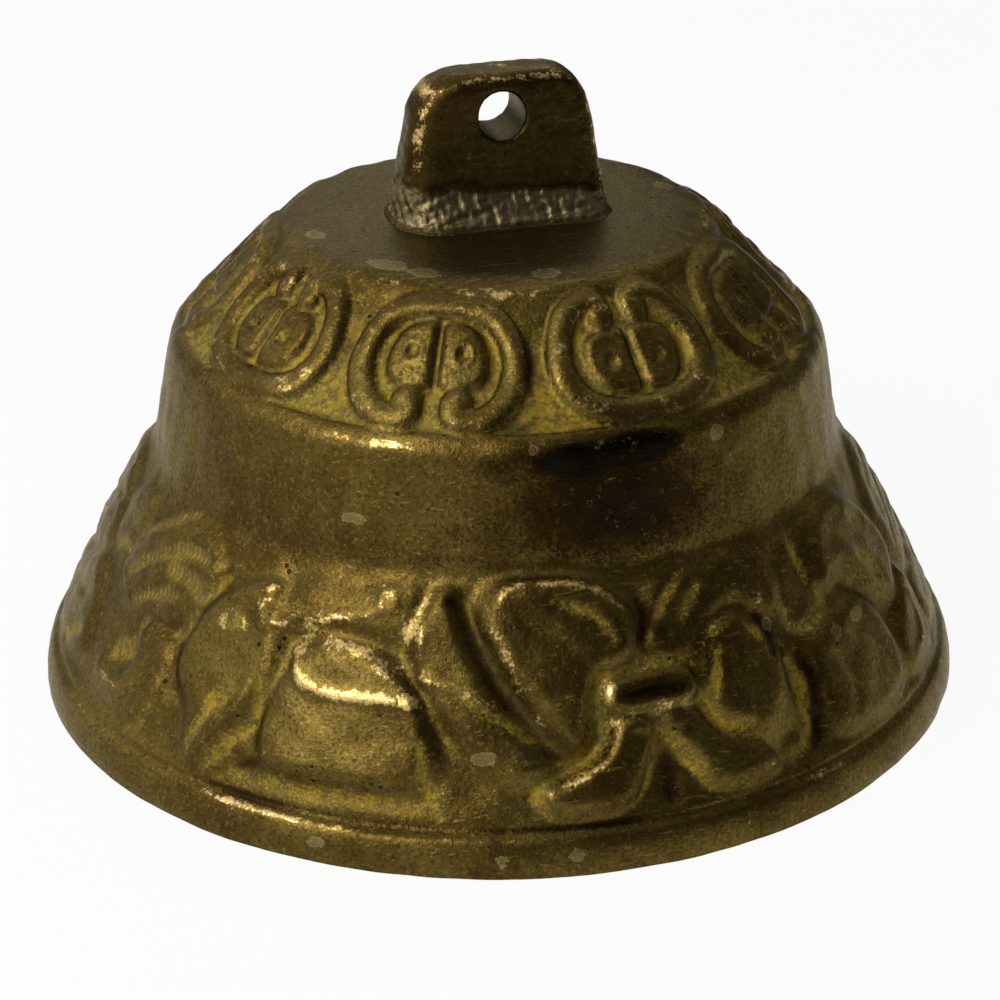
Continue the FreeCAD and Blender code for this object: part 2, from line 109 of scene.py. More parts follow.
# Lines drawn on the skirt, as (half width, height, ochre, wear with painted highlight, grime with
# painted shade) and then the turn and the distance of each point.
LINES = [
    (0.62, -0.5, 1, 0, 0, -66, 15.2, -64, 16, -58, 18.6, -52, 20, -47.5, 20.2),
    (0.45, -0.42, 0.9, 0, 0, -62, 13.8, -60, 14.3, -55, 15.8, -51, 16.3),
    (0.6, -0.3, 0.7, 0, 0, -67, 18.2, -60, 21, -54, 22.8),
    (0.7, -0.4, 1, 0, 0, -55, 17.9, -50, 18.2, -46.5, 17.5, -44, 18.8, -42.6, 19.6),
    (0.62, -0.35, 1, 0, 0, -49.2, 13.4, -47.4, 14.6, -46.4, 16),
    (0.85, -0.5, 1, 0, 0, -56.8, 13.2, -57.2, 11.5, -58.5, 10, -61.5, 9.3, -62.2, 8.4),
    (0.45, 0.32, 0, 0.3, 0, -62.5, 7.7, -58.5, 7, -55, 7.5, -52.5, 8.6),
    (0.4, -0.24, 0.3, 0, 0.45, -47.2, 11, -46.8, 14.5, -44, 17.6, -40.5, 19, -37, 20.4, -32.5, 21),
    (0.28, 0.22, 0, 0.8, 0, -40, 15.6, -40.6, 16.6, -39.8, 17.4),
    (0.26, 0.34, 0, 0.75, 0, -33.4, 17.1, -34.5, 17.6, -34.7, 18.7, -33.2, 19.4),
    (0.26, 0.2, 0, 1, 0, -34.8, 20, -33.6, 20.2),
    (0.3, 0.24, 0.2, 0.9, 0, -42.4, 20.7, -41.6, 20.4),
    (0.38, -0.35, 1, 0, 0, -32.2, 13.2, -31.9, 11, -31.8, 9.6),
    (0.42, -0.4, 1, 0, 0, -31.9, 9.4, -34.4, 8.3, -36.5, 6.3, -38.5, 4.7),
    (0.38, -0.4, 1, 0, 0, -35.2, 12, -38, 10, -39.6, 8, -41, 5.2),
    (0.75, -0.15, 0.9, 0, 0, -38.6, 10, -36.4, 11.4),
    (0.55, 0.3, 0, 0, 0, -33.6, 12.6, -34.6, 10.4, -37.4, 7.6, -39.6, 5),
    (0.36, -0.22, 0.8, 0, 0, -49.2, 7.8, -50, 5.8, -53, 4.6),
    (0.48, 0.32, 0, 0.85, 0, -28.7, 16.2, -27.7, 15.2, -26.2, 13.9, -23.6, 13.35, -19, 13.3, -15,
     13.4, -10.2, 13.2),
    (0.34, 0.24, 0.1, 0.62, 0, -28.5, 16.1, -24, 16.6, -20, 16.8, -15.5, 15.6, -12.2, 14.2, -10.6,
     13.3),
    (0.3, 0.3, 0.3, 0.7, 0, -33, 17.5, -28, 17.4, -22, 17.3, -17, 16.8, -12.5, 15.6, -6, 14.6,
     -0.5, 13),
    (0.3, 0.3, 0.3, 0.8, 0, -30.5, 18.5, -26, 18.6, -22, 19.2, -18, 19.8, -16.9, 20.3),
    (0.3, -0.22, 0.6, 0, 0, -31, 18, -25, 18, -18, 18, -13, 16.8),
    (0.26, 0.3, 0.2, 0.6, 0, -16.9, 20.4, -17.1, 21.2, -16, 21.7, -14.8, 21.2, -15, 20.3, -16.1,
     20.1, -16.9, 20.4),
    (0.75, -0.2, 0.8, 0.5, 0, -10.4, 21.6, -11.6, 19.6, -13.3, 17.5),
    (0.34, 0.15, 0.2, 0.8, 0, -10.4, 18.9, -10.7, 16.9),
    (0.55, -0.2, 0, 0, 1, -7.5, 21.3, -7.1, 21),
    (0.42, -0.08, 0.5, 0, 0, -23, 11.6, -23.3, 9),
    (0.85, -0.1, 0.5, 0, 0, -34, 5.4, -26, 5.5, -17, 5.6, -9, 5.5),
    (0.38, -0.35, 1, 0, 0, -9.7, 10.4, -9.1, 7.8, -8, 6, -7, 4.6),
    (0.24, 0.18, 0.2, 0.4, 0, -6.2, 7.4, -6.8, 6.8, -6.2, 6.2, -5.6, 6.8, -6.2, 7.4),
    (1.25, -0.46, 0.35, 0, 0.45, -5.6, 21, -4.2, 19, -2, 17, 1, 14.5, 5, 11.5, 8.6, 9.4),
    (0.5, 0.16, 0.6, 0.38, 0, -3.2, 20.8, -1.6, 20, 0.4, 18, 1.9, 15.7, 3.4, 13.6, 6.4, 11),
    (0.38, -0.22, 0.9, 0, 0, -10, 16.2, -9, 15.4, -5, 14.3, -2, 13, 1.5, 11.8, 4.4, 10.2),
    (0.4, 0.22, 0.3, 0.6, 0, 0.4, 21.2, 0.8, 22.2, 5, 22.6, 9, 22.4, 14, 21.9, 16, 20.9, 19, 19.4),
    (0.36, -0.3, 0.8, 0, 0, 7, 21.1, 11.5, 20.4, 14, 19.2, 16.2, 17.4),
    (0.3, -0.16, 0.4, 0, 0.2, 3, 19.6, 7, 18.8, 10, 17.4, 11.6, 15.8),
    (0.9, -0.3, 0, 0, 0.55, 20.4, 20.6, 21.2, 19.4, 19.8, 17.2),
    (0.36, -0.28, 0.8, 0, 0, 21.8, 18.2, 24, 20, 26, 21, 28.8, 22.3),
    (0.4, -0.24, 0.8, 0, 0, 25.6, 17.8, 28, 19.3, 30.4, 20.8),
    (0.5, -0.3, 0, 0, 0.55, 23.2, 18.4, 23.6, 16.8),
    (0.38, -0.2, 0.8, 0.2, 0, 13.2, 15.1, 15, 15.1, 20, 15.5, 26.4, 15.3),
    (0.4, 0.16, 0.6, 0.3, 0, 27.5, 15.6, 31, 16.9, 34.8, 17.7),
    (0.62, -0.22, 0, 0, 0.8, 15.6, 13.5, 20, 13.6, 24.4, 13.5),
    (0.32, 0.16, 0, 0.8, 0, 13.9, 13.2, 14, 14.4),
    (0.3, 0.24, 0.2, 0.6, 0, 14.6, 11.8, 17.5, 12.3, 21, 12.3, 25.2, 12.2),
    (0.26, 0.18, 0.2, 0.4, 0, 15.6, 11.1, 19.6, 11.7, 25, 11.5),
    (0.85, -0.7, 1, 0, 0, 13, 15, 12.3, 13.5, 12.4, 12, 12.6, 10.8, 11.6, 9.6, 9.4, 8.5, 7, 8),
    (0.42, -0.3, 0.9, 0, 0, 7, 7.9, 4.7, 7.4, 4.4, 6, 6.2, 4.6),
    (0.46, 0.3, 0.3, 0.55, 0, 14.8, 12, 14.8, 10.8, 13.6, 9.2, 10.8, 7.9, 7.4, 7.2),
    (0.36, -0.35, 0.7, 0, 0.2, 19.5, 10.8, 18.4, 8, 17, 5.4),
    (0.42, -0.35, 0.8, 0, 0, 20.9, 10.4, 23, 8, 25.6, 5),
    (0.3, -0.2, 0.6, 0, 0.2, 22.6, 9.6, 25.4, 7.2, 28, 5.2),
    (1.1, -0.34, 0, 0, 0.5, 20.6, 4.6, 20.6, 6.4, 20.7, 8.6),
    (0.8, -0.25, 0, 0, 0.4, 16.4, 10.2, 17.8, 10.2),
    (0.8, -0.25, 0, 0, 0.4, 23, 10.4, 24.6, 9.8),
    (0.32, -0.3, 0.3, 0, 0.4, 25.9, 12.2, 27.4, 10, 30, 8.2, 33.6, 7.4),
    (0.48, -0.3, 0.9, 0, 0, 30.2, 15.4, 29, 13, 27.2, 11.5, 28, 10.3, 30, 9.5, 33.4, 9),
    (0.62, -0.15, 0.9, 0, 0, 35.6, 16.2, 37.6, 15.2),
    (0.42, -0.5, 0, 0, 1, 38.6, 17.4, 39.6, 15.5, 38.6, 13.6),
    (0.26, 0.16, 0, 0.8, 0, 39.2, 17.6, 40.2, 18.2),
    (0.8, -0.55, 1, 0, 0, 41.4, 12.6, 42.2, 10.6, 42.3, 8.4, 41.4, 6),
    (0.42, -0.4, 0, 0, 0.9, 43.6, 12.9, 44.8, 11, 44.2, 8.4, 42.7, 6, 41.2, 4.9),
    (0.42, -0.2, 0.7, 0, 0, 35.8, 8.2, 36, 6.3, 38.2, 5.2, 40.4, 5.8),
    (0.6, -0.2, 0.3, 0, 0.3, 37.6, 7.4, 39.6, 7),
    (0.44, -0.25, 0.9, 0, 0, 43.4, 18, 43.9, 15.8, 45, 14.5, 49, 14.4, 52.4, 15.3, 51.4, 17.2),
    (0.62, -0.22, 0.7, 0, 0, 50.2, 17.4, 50.2, 21.4),
    (0.32, -0.25, 0.4, 0, 0.4, 54.6, 18.4, 58, 15.7, 62, 13.7, 67, 11.6),
    (0.85, -0.25, 0.9, 0, 0, 63.6, 16.6, 66.2, 15, 66.2, 13, 67.6, 11.6),
    (0.62, -0.22, 0.8, 0, 0, 65.6, 19.8, 69.2, 18.4),
    (0.45, 0.24, 0, 0.3, 0, 72, 12.2, 73.4, 9.2, 71, 6.8, 66.4, 6.2),
    (0.36, -0.25, 0.6, 0, 0, 49, 12, 50.6, 9.4, 49.4, 6.2),
    (0.3, -0.2, 0.5, 0, 0, 54, 12.4, 58, 9.6, 60, 6),
    (0.3, -0.2, 0.5, 0, 0, 57, 20.2, 62, 18.6, 66, 16.8),
    (0.22, -0.06, 0, 0, 0.9, -24.4, 26.7, -24.4, 25.1),
    (0.3, -0.12, 0, 0, 0.9, -33.6, 5.9, -31.5, 6.5, -29.6, 6.7),
    (0.4, -0.3, 0.8, 0, 0, 80, 13.4, 86, 15.6, 92, 17.6, 98, 18),
    (0.4, -0.3, 0.7, 0, 0, 82, 18.6, 88, 19.6, 94, 20.2),
    (0.4, -0.28, 0.7, 0, 0, 82, 7.2, 90, 7.8, 98, 9.4, 104, 9.8),
    (0.32, 0.24, 0, 0.5, 0, 84, 13, 91, 14.4, 97, 15.6),
    (0.7, -0.3, 0.9, 0, 0, 101.5, 5, 104, 6.4, 107.6, 7.6),
    (0.5, -0.25, 0.8, 0, 0, 103, 14.6, 106.5, 16.2, 110.4, 15.8),
]
# Turns between which the rim's ledge fades out, on the right and on the left.
FLUSH_RIGHT, FLUSH_LEFT = (-6, 24), (29, 44)
# Rubbed bright edges and painted highlights, as (distance, half width, amount, turn, reach in
# degrees).
RUBBED_AND_HIGHLIT = [(3.2, 0.4, 0.9, -24, 11), (33.3, 0.5, 0.56, -19, 11), (33.3, 0.45, 0.25, 24, 9),
    (46.4, 0.6, 0.5, 3, 12), (46.7, 0.9, 0.45, -27, 8)]
# Pale flaked spots, as (turn, distance, half width, half height).
FLAKES = [(-68, 48.8, 1, 0.7), (-33, 48.9, 1.8, 0.9), (-20.5, 48.6, 1.4, 0.8),
    (14.8, 48.8, 1.2, 0.8), (-23, 27, 1.2, 0.36), (38.3, 32.2, 0.7, 0.6), (63, 31.6, 0.5, 0.9),
    (5.9, 33.2, 0.4, 0.4), (0.2, 1.5, 1, 0.4), (8.5, 1.8, 0.6, 0.4), (29.3, 2.2, 0.4, 0.4),
    (14, 2.2, 0.4, 0.35), (-21, 1.9, 0.8, 0.4), (-41, 2.2, 0.5, 0.4), (40.5, 15.8, 0.5, 0.6),
    (51, 12.8, 0.7, 0.5), (56.5, 13, 0.9, 0.6), (-2, 9.4, 1.1, 0.5), (24.5, 12, 0.6, 0.5),
    (112, 49, 1.2, 0.8), (150, 27.5, 1.3, 0.6), (-120, 49.6, 1.3, 0.9), (-150, 26, 0.8, 1),
    (-178, 49.2, 1, 0.8), (170, 2, 0.9, 0.5), (130, 30.2, 0.8, 0.6)]
# Painted dark reflection and shade, as (turn, distance, reach in degrees, half height, amount).
PAINTED_DARKS = [(13.5, 32.2, 8.5, 1.35, 1.7), (23, 32.5, 8, 1.3, 1.75), (4, 32, 9, 1.5, 0.62),
    (19, 28.4, 19, 5, 1), (3, 35.2, 6, 0.9, 0.55), (2, 27.2, 16, 2.6, 0.45),
    (24, 25.6, 14, 1.2, 0.62), (-6, 24.4, 14, 0.8, 0.5), (6.6, 40.2, 1.8, 3.4, 0.7),
    (-32, 40.6, 1.7, 3.2, 0.55), (46.6, 40.4, 1.9, 3.2, 0.55)]
# Small raised discs, as (turn, distance, radius, height, ochre, worn).
DISCS = [(-38.4, 16.6, 1.0, 0.16, 0.75, 0.62)]

# Frieze. Places in a medallion are (across, up) from its middle, for one that opens downward.
FRIEZE_MM_A_DEGREE = 0.405
MEDALLIONS = 9
FIRST_MEDALLION = -12.0
# Share of its height by how many places a medallion is from the front one.
MEDALLION_SHARES = (1.0, 1.0, 0.8, 0.74, 0.8)
MEDALLION_STEP = 40.0
MEDALLION_MIDDLE = 40.35
MEDALLION_SIZE = (1.09, 1.12)
FRIEZE_LOW, FRIEZE_HIGH = 34.3, 47.2
FRIEZE_DEPTH = 0.52
FRIEZE_EDGES = (0.6, 2.6)
SCROLL = [(-1.7, -2.75), (-1.55, -3.5), (-2.1, -4.15), (-3.6, -4.05), (-5, -2.75), (-5.75, -0.6),
    (-5.55, 1.6), (-4.4, 3.3), (-2.4, 4.15), (0, 4.35)]
# Along each scroll's crest: bright wear with a painted highlight.
SCROLL_HALF, SCROLL_HEIGHT, SCROLL_WEAR_AND_HIGHLIGHT, SCROLL_FLAT = 1.1, 0.86, 0.3, 0.5
KNOB = (1.72, -2.95, 1.22, 0.86)
LOBE = [(-0.3, -1.6), (-0.32, 0.5), (-0.35, 2.7), (-1.6, 2.95), (-3, 2.2), (-3.75, 0.4),
    (-3.4, -1.3), (-1.9, -1.85)]
LOBE_HEIGHT, LOBE_EDGE = 0.66, 0.9
DOT = (1.95, 0.6, 0.62, 0.26)
# Half width and half height of the oval in which a medallion's ground has most ochre.
RING_HALF = (5.4, 4.2)


def catmull_rom(points, closed=False, steps=4):
    """Points of a smooth curve through points."""
    points = np.array(points, float)
    if closed:
        ring = np.vstack([points[-1:], points, points[:2]])
    else:
        ring = np.vstack([2 * points[:1] - points[1:2], points, 2 * points[-1:] - points[-2:-1]])
    curve = []
    for p0, p1, p2, p3 in zip(ring, ring[1:], ring[2:], ring[3:]):
        for t in np.arange(steps) / steps:
            bend = (2 * p0 - 5 * p1 + 4 * p2 - p3) * t * t + (3 * p1 - p0 - 3 * p2 + p3) * t ** 3
            curve.append(0.5 * (2 * p1 + (p2 - p0) * t + bend))
    if not closed:
        curve.append(points[-1])
    return np.array(curve)


def nearest(u, v, curve, closed=False):
    """Distance from each place to a curve, and the share of the curve's length there."""
    ends = np.roll(curve, -1, axis=0) if closed else curve[1:]
    starts = curve if closed else curve[:-1]
    lengths = np.hypot(*(ends - starts).T)
    best = np.full(u.shape, 1e9)
    share = np.zeros(u.shape)
    done = 0.0
    for (au, av), (bu, bv), length in zip(starts, ends, lengths):
        along = ((u - au) * (bu - au) + (v - av) * (bv - av)) / max(length * length, 1e-12)
        along = np.clip(along, 0, 1)
        far = np.hypot(u - au - along * (bu - au), v - av - along * (bv - av))
        closer = far < best
        best = np.where(closer, far, best)
        share = np.where(closer, (done + along * length) / lengths.sum(), share)
        done += length
    return best, share


def within(u, v, ring):
    """True for the places inside a closed ring of points."""
    odd = np.zeros(u.shape, bool)
    for (au, av), (bu, bv) in zip(ring, np.roll(ring, -1, axis=0)):
        if av == bv:
            continue
        crosses = (av > v) != (bv > v)
        odd ^= crosses & (u < au + (v - av) * (bu - au) / (bv - av))
    return odd


def smooth_step(value, low, high):
    share = np.clip((value - low) / (high - low), 0, 1)
    return share * share * (3 - 2 * share)


def dome(far):
    """1 in the middle, falling to 0 at a distance of 1."""
    return np.clip(1 - far ** 2, 0, 1)


def band(value, rise_from, rise_to, fall_from, fall_to):
    """1 from rise_to to fall_from, and 0 before rise_from and after fall_to."""
    return smooth_step(value, rise_from, rise_to) * (1 - smooth_step(value, fall_from, fall_to))


class Sheet:
    """A flat map of part of the bell's outside: its relief, age, and painted light and shade."""

    def __init__(self, turns, distances, scale, period=None):
        turn, distance = np.meshgrid(turns, distances)
        self.shape = turn.shape
        self.u, self.v = turn.ravel() * scale, distance.ravel()
        self.scale = scale
        self.period = period * scale if period else None
        self.height, self.ochre, self.worn, self.grime = np.zeros((4, self.u.size))

    def near(self, curve, reach):
        """Places near a curve: their indices and their coordinates."""
        (left, bottom), (right, top) = curve.min(axis=0), curve.max(axis=0)
        middle = (left + right) / 2
        u = self.u
        if self.period:
            u = (u - middle + self.period / 2) % self.period - self.period / 2 + middle
        found = np.abs(u - middle) < (right - left) / 2 + reach
        found &= (self.v > bottom - reach) & (self.v < top + reach)
        index = np.nonzero(found)[0]
        return index, u[index], self.v[index]

    def to_map(self, points):
        return np.reshape(points, (-1, 2)) * [self.scale, 1]

    def pad(self, outline, height, edge):
        """A swelling form with a rounded edge of the given width."""
        ring = catmull_rom(outline, closed=True)
        index, u, v = self.near(ring, edge)
        far, _ = nearest(u, v, ring, closed=True)
        share = np.clip(0.5 + np.where(within(u, v, ring), far, -far) / edge, 0, 1)
        rise = height * share * share * (3 - 2 * share)
        joined = (self.height[index] ** PAD_JOIN + rise ** PAD_JOIN) ** (1 / PAD_JOIN)
        self.height[index] = np.minimum(joined, PAD_LIMIT)

    def line(self, points, half, height, ochre, worn, grime, taper=0.45, flat=0):
        """A ridge, or a groove where height is under zero, that narrows towards its ends.

        With flat over zero it is a band that stands on the ground, flatter as flat gets less."""
        curve = catmull_rom(points)
        index, u, v = self.near(curve, half * 1.6)
        far, share = nearest(u, v, curve)
        width = half * (1 - taper + taper * np.sqrt(np.clip(np.sin(share * math.pi), 0, 1)))
        form = dome(far / width)
        if flat:
            self.height[index] = np.maximum(self.height[index], height * form ** flat)
        else:
            self.height[index] += height * form
        soft = dome(far / (width * 1.3))
        self.mark(index, self.ochre, ochre * soft)
        self.mark(index, self.worn, worn * form)
        self.mark(index, self.grime, grime * soft)

    def mark(self, index, marks, amount):
        marks[index] = np.maximum(marks[index], amount)

    def grid(self, values):
        return values.reshape(self.shape)


def waves(x, y, z, length, seed):
    """Smooth noise of about one, made of plane waves near the given length."""
    random = np.random.RandomState(seed)
    total = np.zeros(np.shape(x))
    count = 14
    for _ in range(count):
        direction = random.normal(size=3)
        direction *= 2 * math.pi / (length * random.uniform(0.6, 1.6) * np.linalg.norm(direction))
        phase = random.uniform(0, 2 * math.pi)
        total += np.sin(x * direction[0] + y * direction[1] + z * direction[2] + phase)
    return total / math.sqrt(count / 2)


def blurred(values, times):
    """Blur over rows and over columns that run round."""
    for _ in range(times):
        values = (np.roll(values, 1, 1) + 2 * values + np.roll(values, -1, 1)) / 4
        above = np.vstack([values[:1], values[:-1]])
        below = np.vstack([values[1:], values[-1:]])
        values = (above + 2 * values + below) / 4
    return values


def add_object(name, data):
    thing = bpy.data.objects.new(name, data)
    bpy.context.scene.collection.objects.link(thing)
    return thing


def new_piece(name, body, nodes, mesh):
    """Puts a mesh in the scene in metres, riding on its body in place of CAD nodes."""
    mesh.transform(Matrix.Scale(MM, 4))
    mesh.name = name
    mesh.polygons.foreach_set("use_smooth", [True] * len(mesh.polygons))
    piece = add_object(name, mesh)
    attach(piece, body)
    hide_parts(*nodes)
    return piece


def set_marks(mesh, **marks):
    """A number for each point under each name, which the materials read."""
    for name, values in marks.items():
        layer = mesh.attributes.new(name, "FLOAT", "POINT")
        layer.data.foreach_set("value", np.asarray(values, np.float32).ravel())


def rounds(rows, columns, start=0, closed=False):
    """Quads between rows of points that each run round, and from the last row to the first."""
    here = np.arange(columns)
    after = (here + 1) % columns
    faces = []
    for row in range(rows if closed else rows - 1):
        low, high = start + row * columns, start + (row + 1) % rows * columns
        faces += np.column_stack([low + here, low + after, high + after, high + here]).tolist()
    return faces


def tube(rows, columns, closed=False):
    """Faces of a tube of points, with a face on each end or else closed to a ring."""
    faces = rounds(rows, columns, closed=closed)
    if not closed:
        last = (rows - 1) * columns
        faces += [list(range(columns))[::-1], list(range(last, last + columns))]
    return faces


def joined_mesh(name, forms):
    """A mesh of several forms, each its points and faces."""
    points, faces = [], []
    for form_points, form_faces in forms:
        start = sum(len(block) for block in points)
        faces += [[start + corner for corner in face] for face in form_faces]
        points.append(form_points)
    mesh = bpy.data.meshes.new(name)
    mesh.from_pydata(np.vstack(points).tolist(), [], faces)
    return mesh


def casting_rows():
    rows = []
    for first, last, count in ROW_STEPS:
        rows += list(np.linspace(first, last, count, endpoint=False))
    return np.array(rows + [ROW_STEPS[-1][1]])


def skirt_sheet(turns, rows):
    sheet = Sheet(turns, rows, SKIRT_MM_A_DEGREE, SKIRT_PERIOD)
    for height, edge, *outline in PADS:
        sheet.pad(sheet.to_map(outline), height, edge * PAD_EDGE_SHARE)
    for turn, distance, radius, height, ochre, worn in DISCS:
        corners = [(math.cos(a) * radius, math.sin(a) * radius)
                   for a in np.linspace(0, 2 * math.pi, 9)[:-1]]
        index, u, v = sheet.near(sheet.to_map([turn, distance]) + corners, 0.6)
        far = np.hypot(u - turn * sheet.scale, v - distance) / radius
        disc = np.clip(1.3 - far ** 3, 0, 1)
        sheet.height[index] += height * disc
        sheet.mark(index, sheet.ochre, ochre * disc)
        sheet.mark(index, sheet.worn, worn * dome((far - 1.1) / 0.3))
    for half, height, ochre, worn, grime, *points in LINES:
        sheet.line(sheet.to_map(points), half, height, ochre, worn, grime)
    return sheet


def medallion_sheet(turns, rows, opens_down):
    """One medallion of the frieze, with turns counted from its middle."""
    sheet = Sheet(turns, rows - MEDALLION_MIDDLE, FRIEZE_MM_A_DEGREE)
    sheet.u, sheet.v = sheet.u / MEDALLION_SIZE[0], sheet.v / MEDALLION_SIZE[1]
    if not opens_down:
        sheet.v = -sheet.v
    for side in (-1, 1):
        mirror = np.array([-side, 1.0])
        sheet.line(np.array(SCROLL) * mirror, SCROLL_HALF, SCROLL_HEIGHT, 0, SCROLL_WEAR_AND_HIGHLIGHT, 0, 0,
                   SCROLL_FLAT)
        sheet.pad(np.array(LOBE) * mirror, LOBE_HEIGHT, LOBE_EDGE)
        across, up, radius, height = KNOB
        far = np.hypot(sheet.u - side * across, sheet.v - up) / radius
        sheet.height = np.maximum(sheet.height, np.sqrt(dome(far)) * height)
        across, up, radius, depth = DOT
        far = np.hypot(sheet.u - side * across, sheet.v - up) / radius
        sheet.height -= depth * dome(far)
        sheet.height += depth * 0.5 * np.clip(1 - (far - 1.15) ** 2 * 16, 0, 1)
        sheet.ochre = np.maximum(sheet.ochre, 0.45 * np.clip(1.2 - far ** 2, 0, 1))
    return sheet


def add_frieze(distances, height, ochre, worn, grime):
    """Cuts the frieze ground and raises the medallions on it."""
    columns = COLUMNS // MEDALLIONS
    turns = np.arange(columns) * MEDALLION_STEP / columns - MEDALLION_STEP / 2
    rows = np.nonzero((distances > FRIEZE_LOW - 1) & (distances < FRIEZE_HIGH + 1))[0]
    up = distances[rows][:, None]
    ground = band(up, FRIEZE_LOW, FRIEZE_LOW + FRIEZE_EDGES[0], FRIEZE_HIGH - FRIEZE_EDGES[1],
                  FRIEZE_HIGH)
    outer = 0.95 - 0.6 * smooth_step(up, 40.0, 44.5)
    kinds = [medallion_sheet(turns, distances[rows], down) for down in (True, False)]
    first = round((FIRST_MEDALLION - MEDALLION_STEP / 2 + SKIRT_PERIOD / 2) / 360 * COLUMNS)
    for place in range(MEDALLIONS):
        near_front = (place + MEDALLIONS // 2) % MEDALLIONS - MEDALLIONS // 2
        kind = kinds[near_front % 2]
        block = np.ix_(rows, (first + place * columns + np.arange(columns)) % COLUMNS)
        raised = kind.grid(kind.height) * MEDALLION_SHARES[abs(near_front)]
        height[block] += np.maximum(raised - FRIEZE_DEPTH, -FRIEZE_DEPTH) * ground
        ring = np.hypot(kind.grid(kind.u) / RING_HALF[0], kind.grid(kind.v) / RING_HALF[1])
        low = np.clip(1 - raised / 0.5, 0, 1) * ground * np.where(ring < 1, 1.05, outer)
        ochre[block] = np.maximum(ochre[block], np.maximum(low, kind.grid(kind.ochre)))
        worn[block] = np.maximum(worn[block], kind.grid(kind.worn) * ground)
        # Painted shade at the foot of each raised form.
        foot = np.clip(1 - np.abs(raised - 0.22) / 0.22, 0, 1) * ground
        grime[block] = np.maximum(grime[block], 0.62 * foot)


def around(radius, angle, level):
    """Places round the bell's axis, as x, y and z."""
    return np.broadcast_arrays(radius * np.sin(angle), -radius * np.cos(angle), level)


def casting_relief_and_marks(distances, turns, ripple, outline):
    """How far each place stands out from the outline, its age marks, and painted light and shade.
    """
    rows = distances[:, None]
    sheet = skirt_sheet(turns[:COLUMNS // 2], distances)
    height, ochre, worn, grime = (np.tile(sheet.grid(values), 2) for values in
                                  (sheet.height, sheet.ochre, sheet.worn, sheet.grime))
    height *= band(rows, *RELIEF_ENDS)
    ochre *= smooth_step(rows, 3.9, 4.5)
    skirt = band(rows, *SKIRT_ENDS)
    patches = np.clip(0.75 + 0.3 * ripple(5.0, 5), 0, 1)
    crease = np.clip((blurred(height, 9) - height) * 2.4, 0, 0.42) * skirt
    ochre, worn, grime = (np.minimum(blurred(mark, 2) * LINE_GAIN, 1)
                          for mark in (ochre, worn, grime))
    ochre = np.maximum(ochre, crease * patches)
    height = blurred(height, 1)
    add_frieze(distances, height, ochre, worn, grime)

    # The ledge over the rim and the painted shade along it, which run out on both sides of the
    # front.
    folded = (turns + SKIRT_PERIOD / 2) % SKIRT_PERIOD - SKIRT_PERIOD / 2
    flush = smooth_step(folded, *FLUSH_RIGHT) + smooth_step(-folded, *FLUSH_LEFT)
    shade = band(rows, *LEDGE_SHADE) * (1 - 0.65 * flush)
    grime = np.maximum(grime, shade * (0.7 + 0.3 * ripple(14.0, 6)))
    height += 0.3 * np.exp(-((rows - 4.05) / 0.5) ** 2) * flush

    # Rubbed bright edges with painted highlights on them.
    for middle, width, amount, turn, reach in RUBBED_AND_HIGHLIT:
        strip = dome((rows - middle) / width)
        here = np.exp(-((turns - turn) / reach) ** 2)
        worn = np.maximum(worn, strip * (amount * here + 0.2 * ripple(9.0, int(reach))))
    # Painted dark reflection on the waist, and painted shade across it and beside the medallions.
    for turn, distance, reach, tall, amount in PAINTED_DARKS:
        far = ((turns - turn) / reach) ** 2 + ((rows - distance) / tall) ** 2
        grime = np.maximum(grime, amount * np.exp(-far ** 1.5))
    flake = np.zeros(worn.shape)
    for turn, distance, wide, tall in FLAKES:
        across = (turns - turn) * math.pi / 180 * np.interp(distance, *outline[:2])
        far = np.hypot(across / wide, (rows - distance) / tall)
        flake = np.maximum(flake, np.clip(1.3 - 0.8 * far, 0, 1))

    relief, fine = (height - blurred(height, times) for times in (14, 4))
    ochre = np.clip(ochre + np.clip(-relief * 1.2 - 0.16, 0, 0.6) * patches, 0, 1)
    edge_wear = np.clip(0.6 + 0.45 * ripple(6.0, 9), 0, 1.2)
    worn = np.clip(worn + np.clip(fine * 2.6 - 0.12, 0, 0.42) * edge_wear, 0, 1)
    ochre *= 1 - 0.8 * worn

    uneven = sum(size * ripple(length, seed) for size, length, seed in CAST_SKIN)
    height += uneven * (1 - smooth_step(rows, 47.5, 50)) * (0.4 + 0.6 * smooth_step(rows, 3, 7))
    rim = 1 - smooth_step(rows, 0.0, 1.2)
    height -= rim * np.clip(0.03 + 0.02 * ripple(9.0, 3), 0, 1)
    height = np.where(rows < RIM_TOP, np.minimum(height, 0), height)
    ribbed = smooth_step(-folded, 40, 48) * smooth_step(rows, 8, 11) * skirt
    crown = np.repeat(smooth_step(rows, 46.0, 48.6), COLUMNS, axis=1)
    return height, {"ochre": ochre, "worn": worn, "grime": grime, "flake": flake,
                    "ribbed": ribbed, "crown": crown}


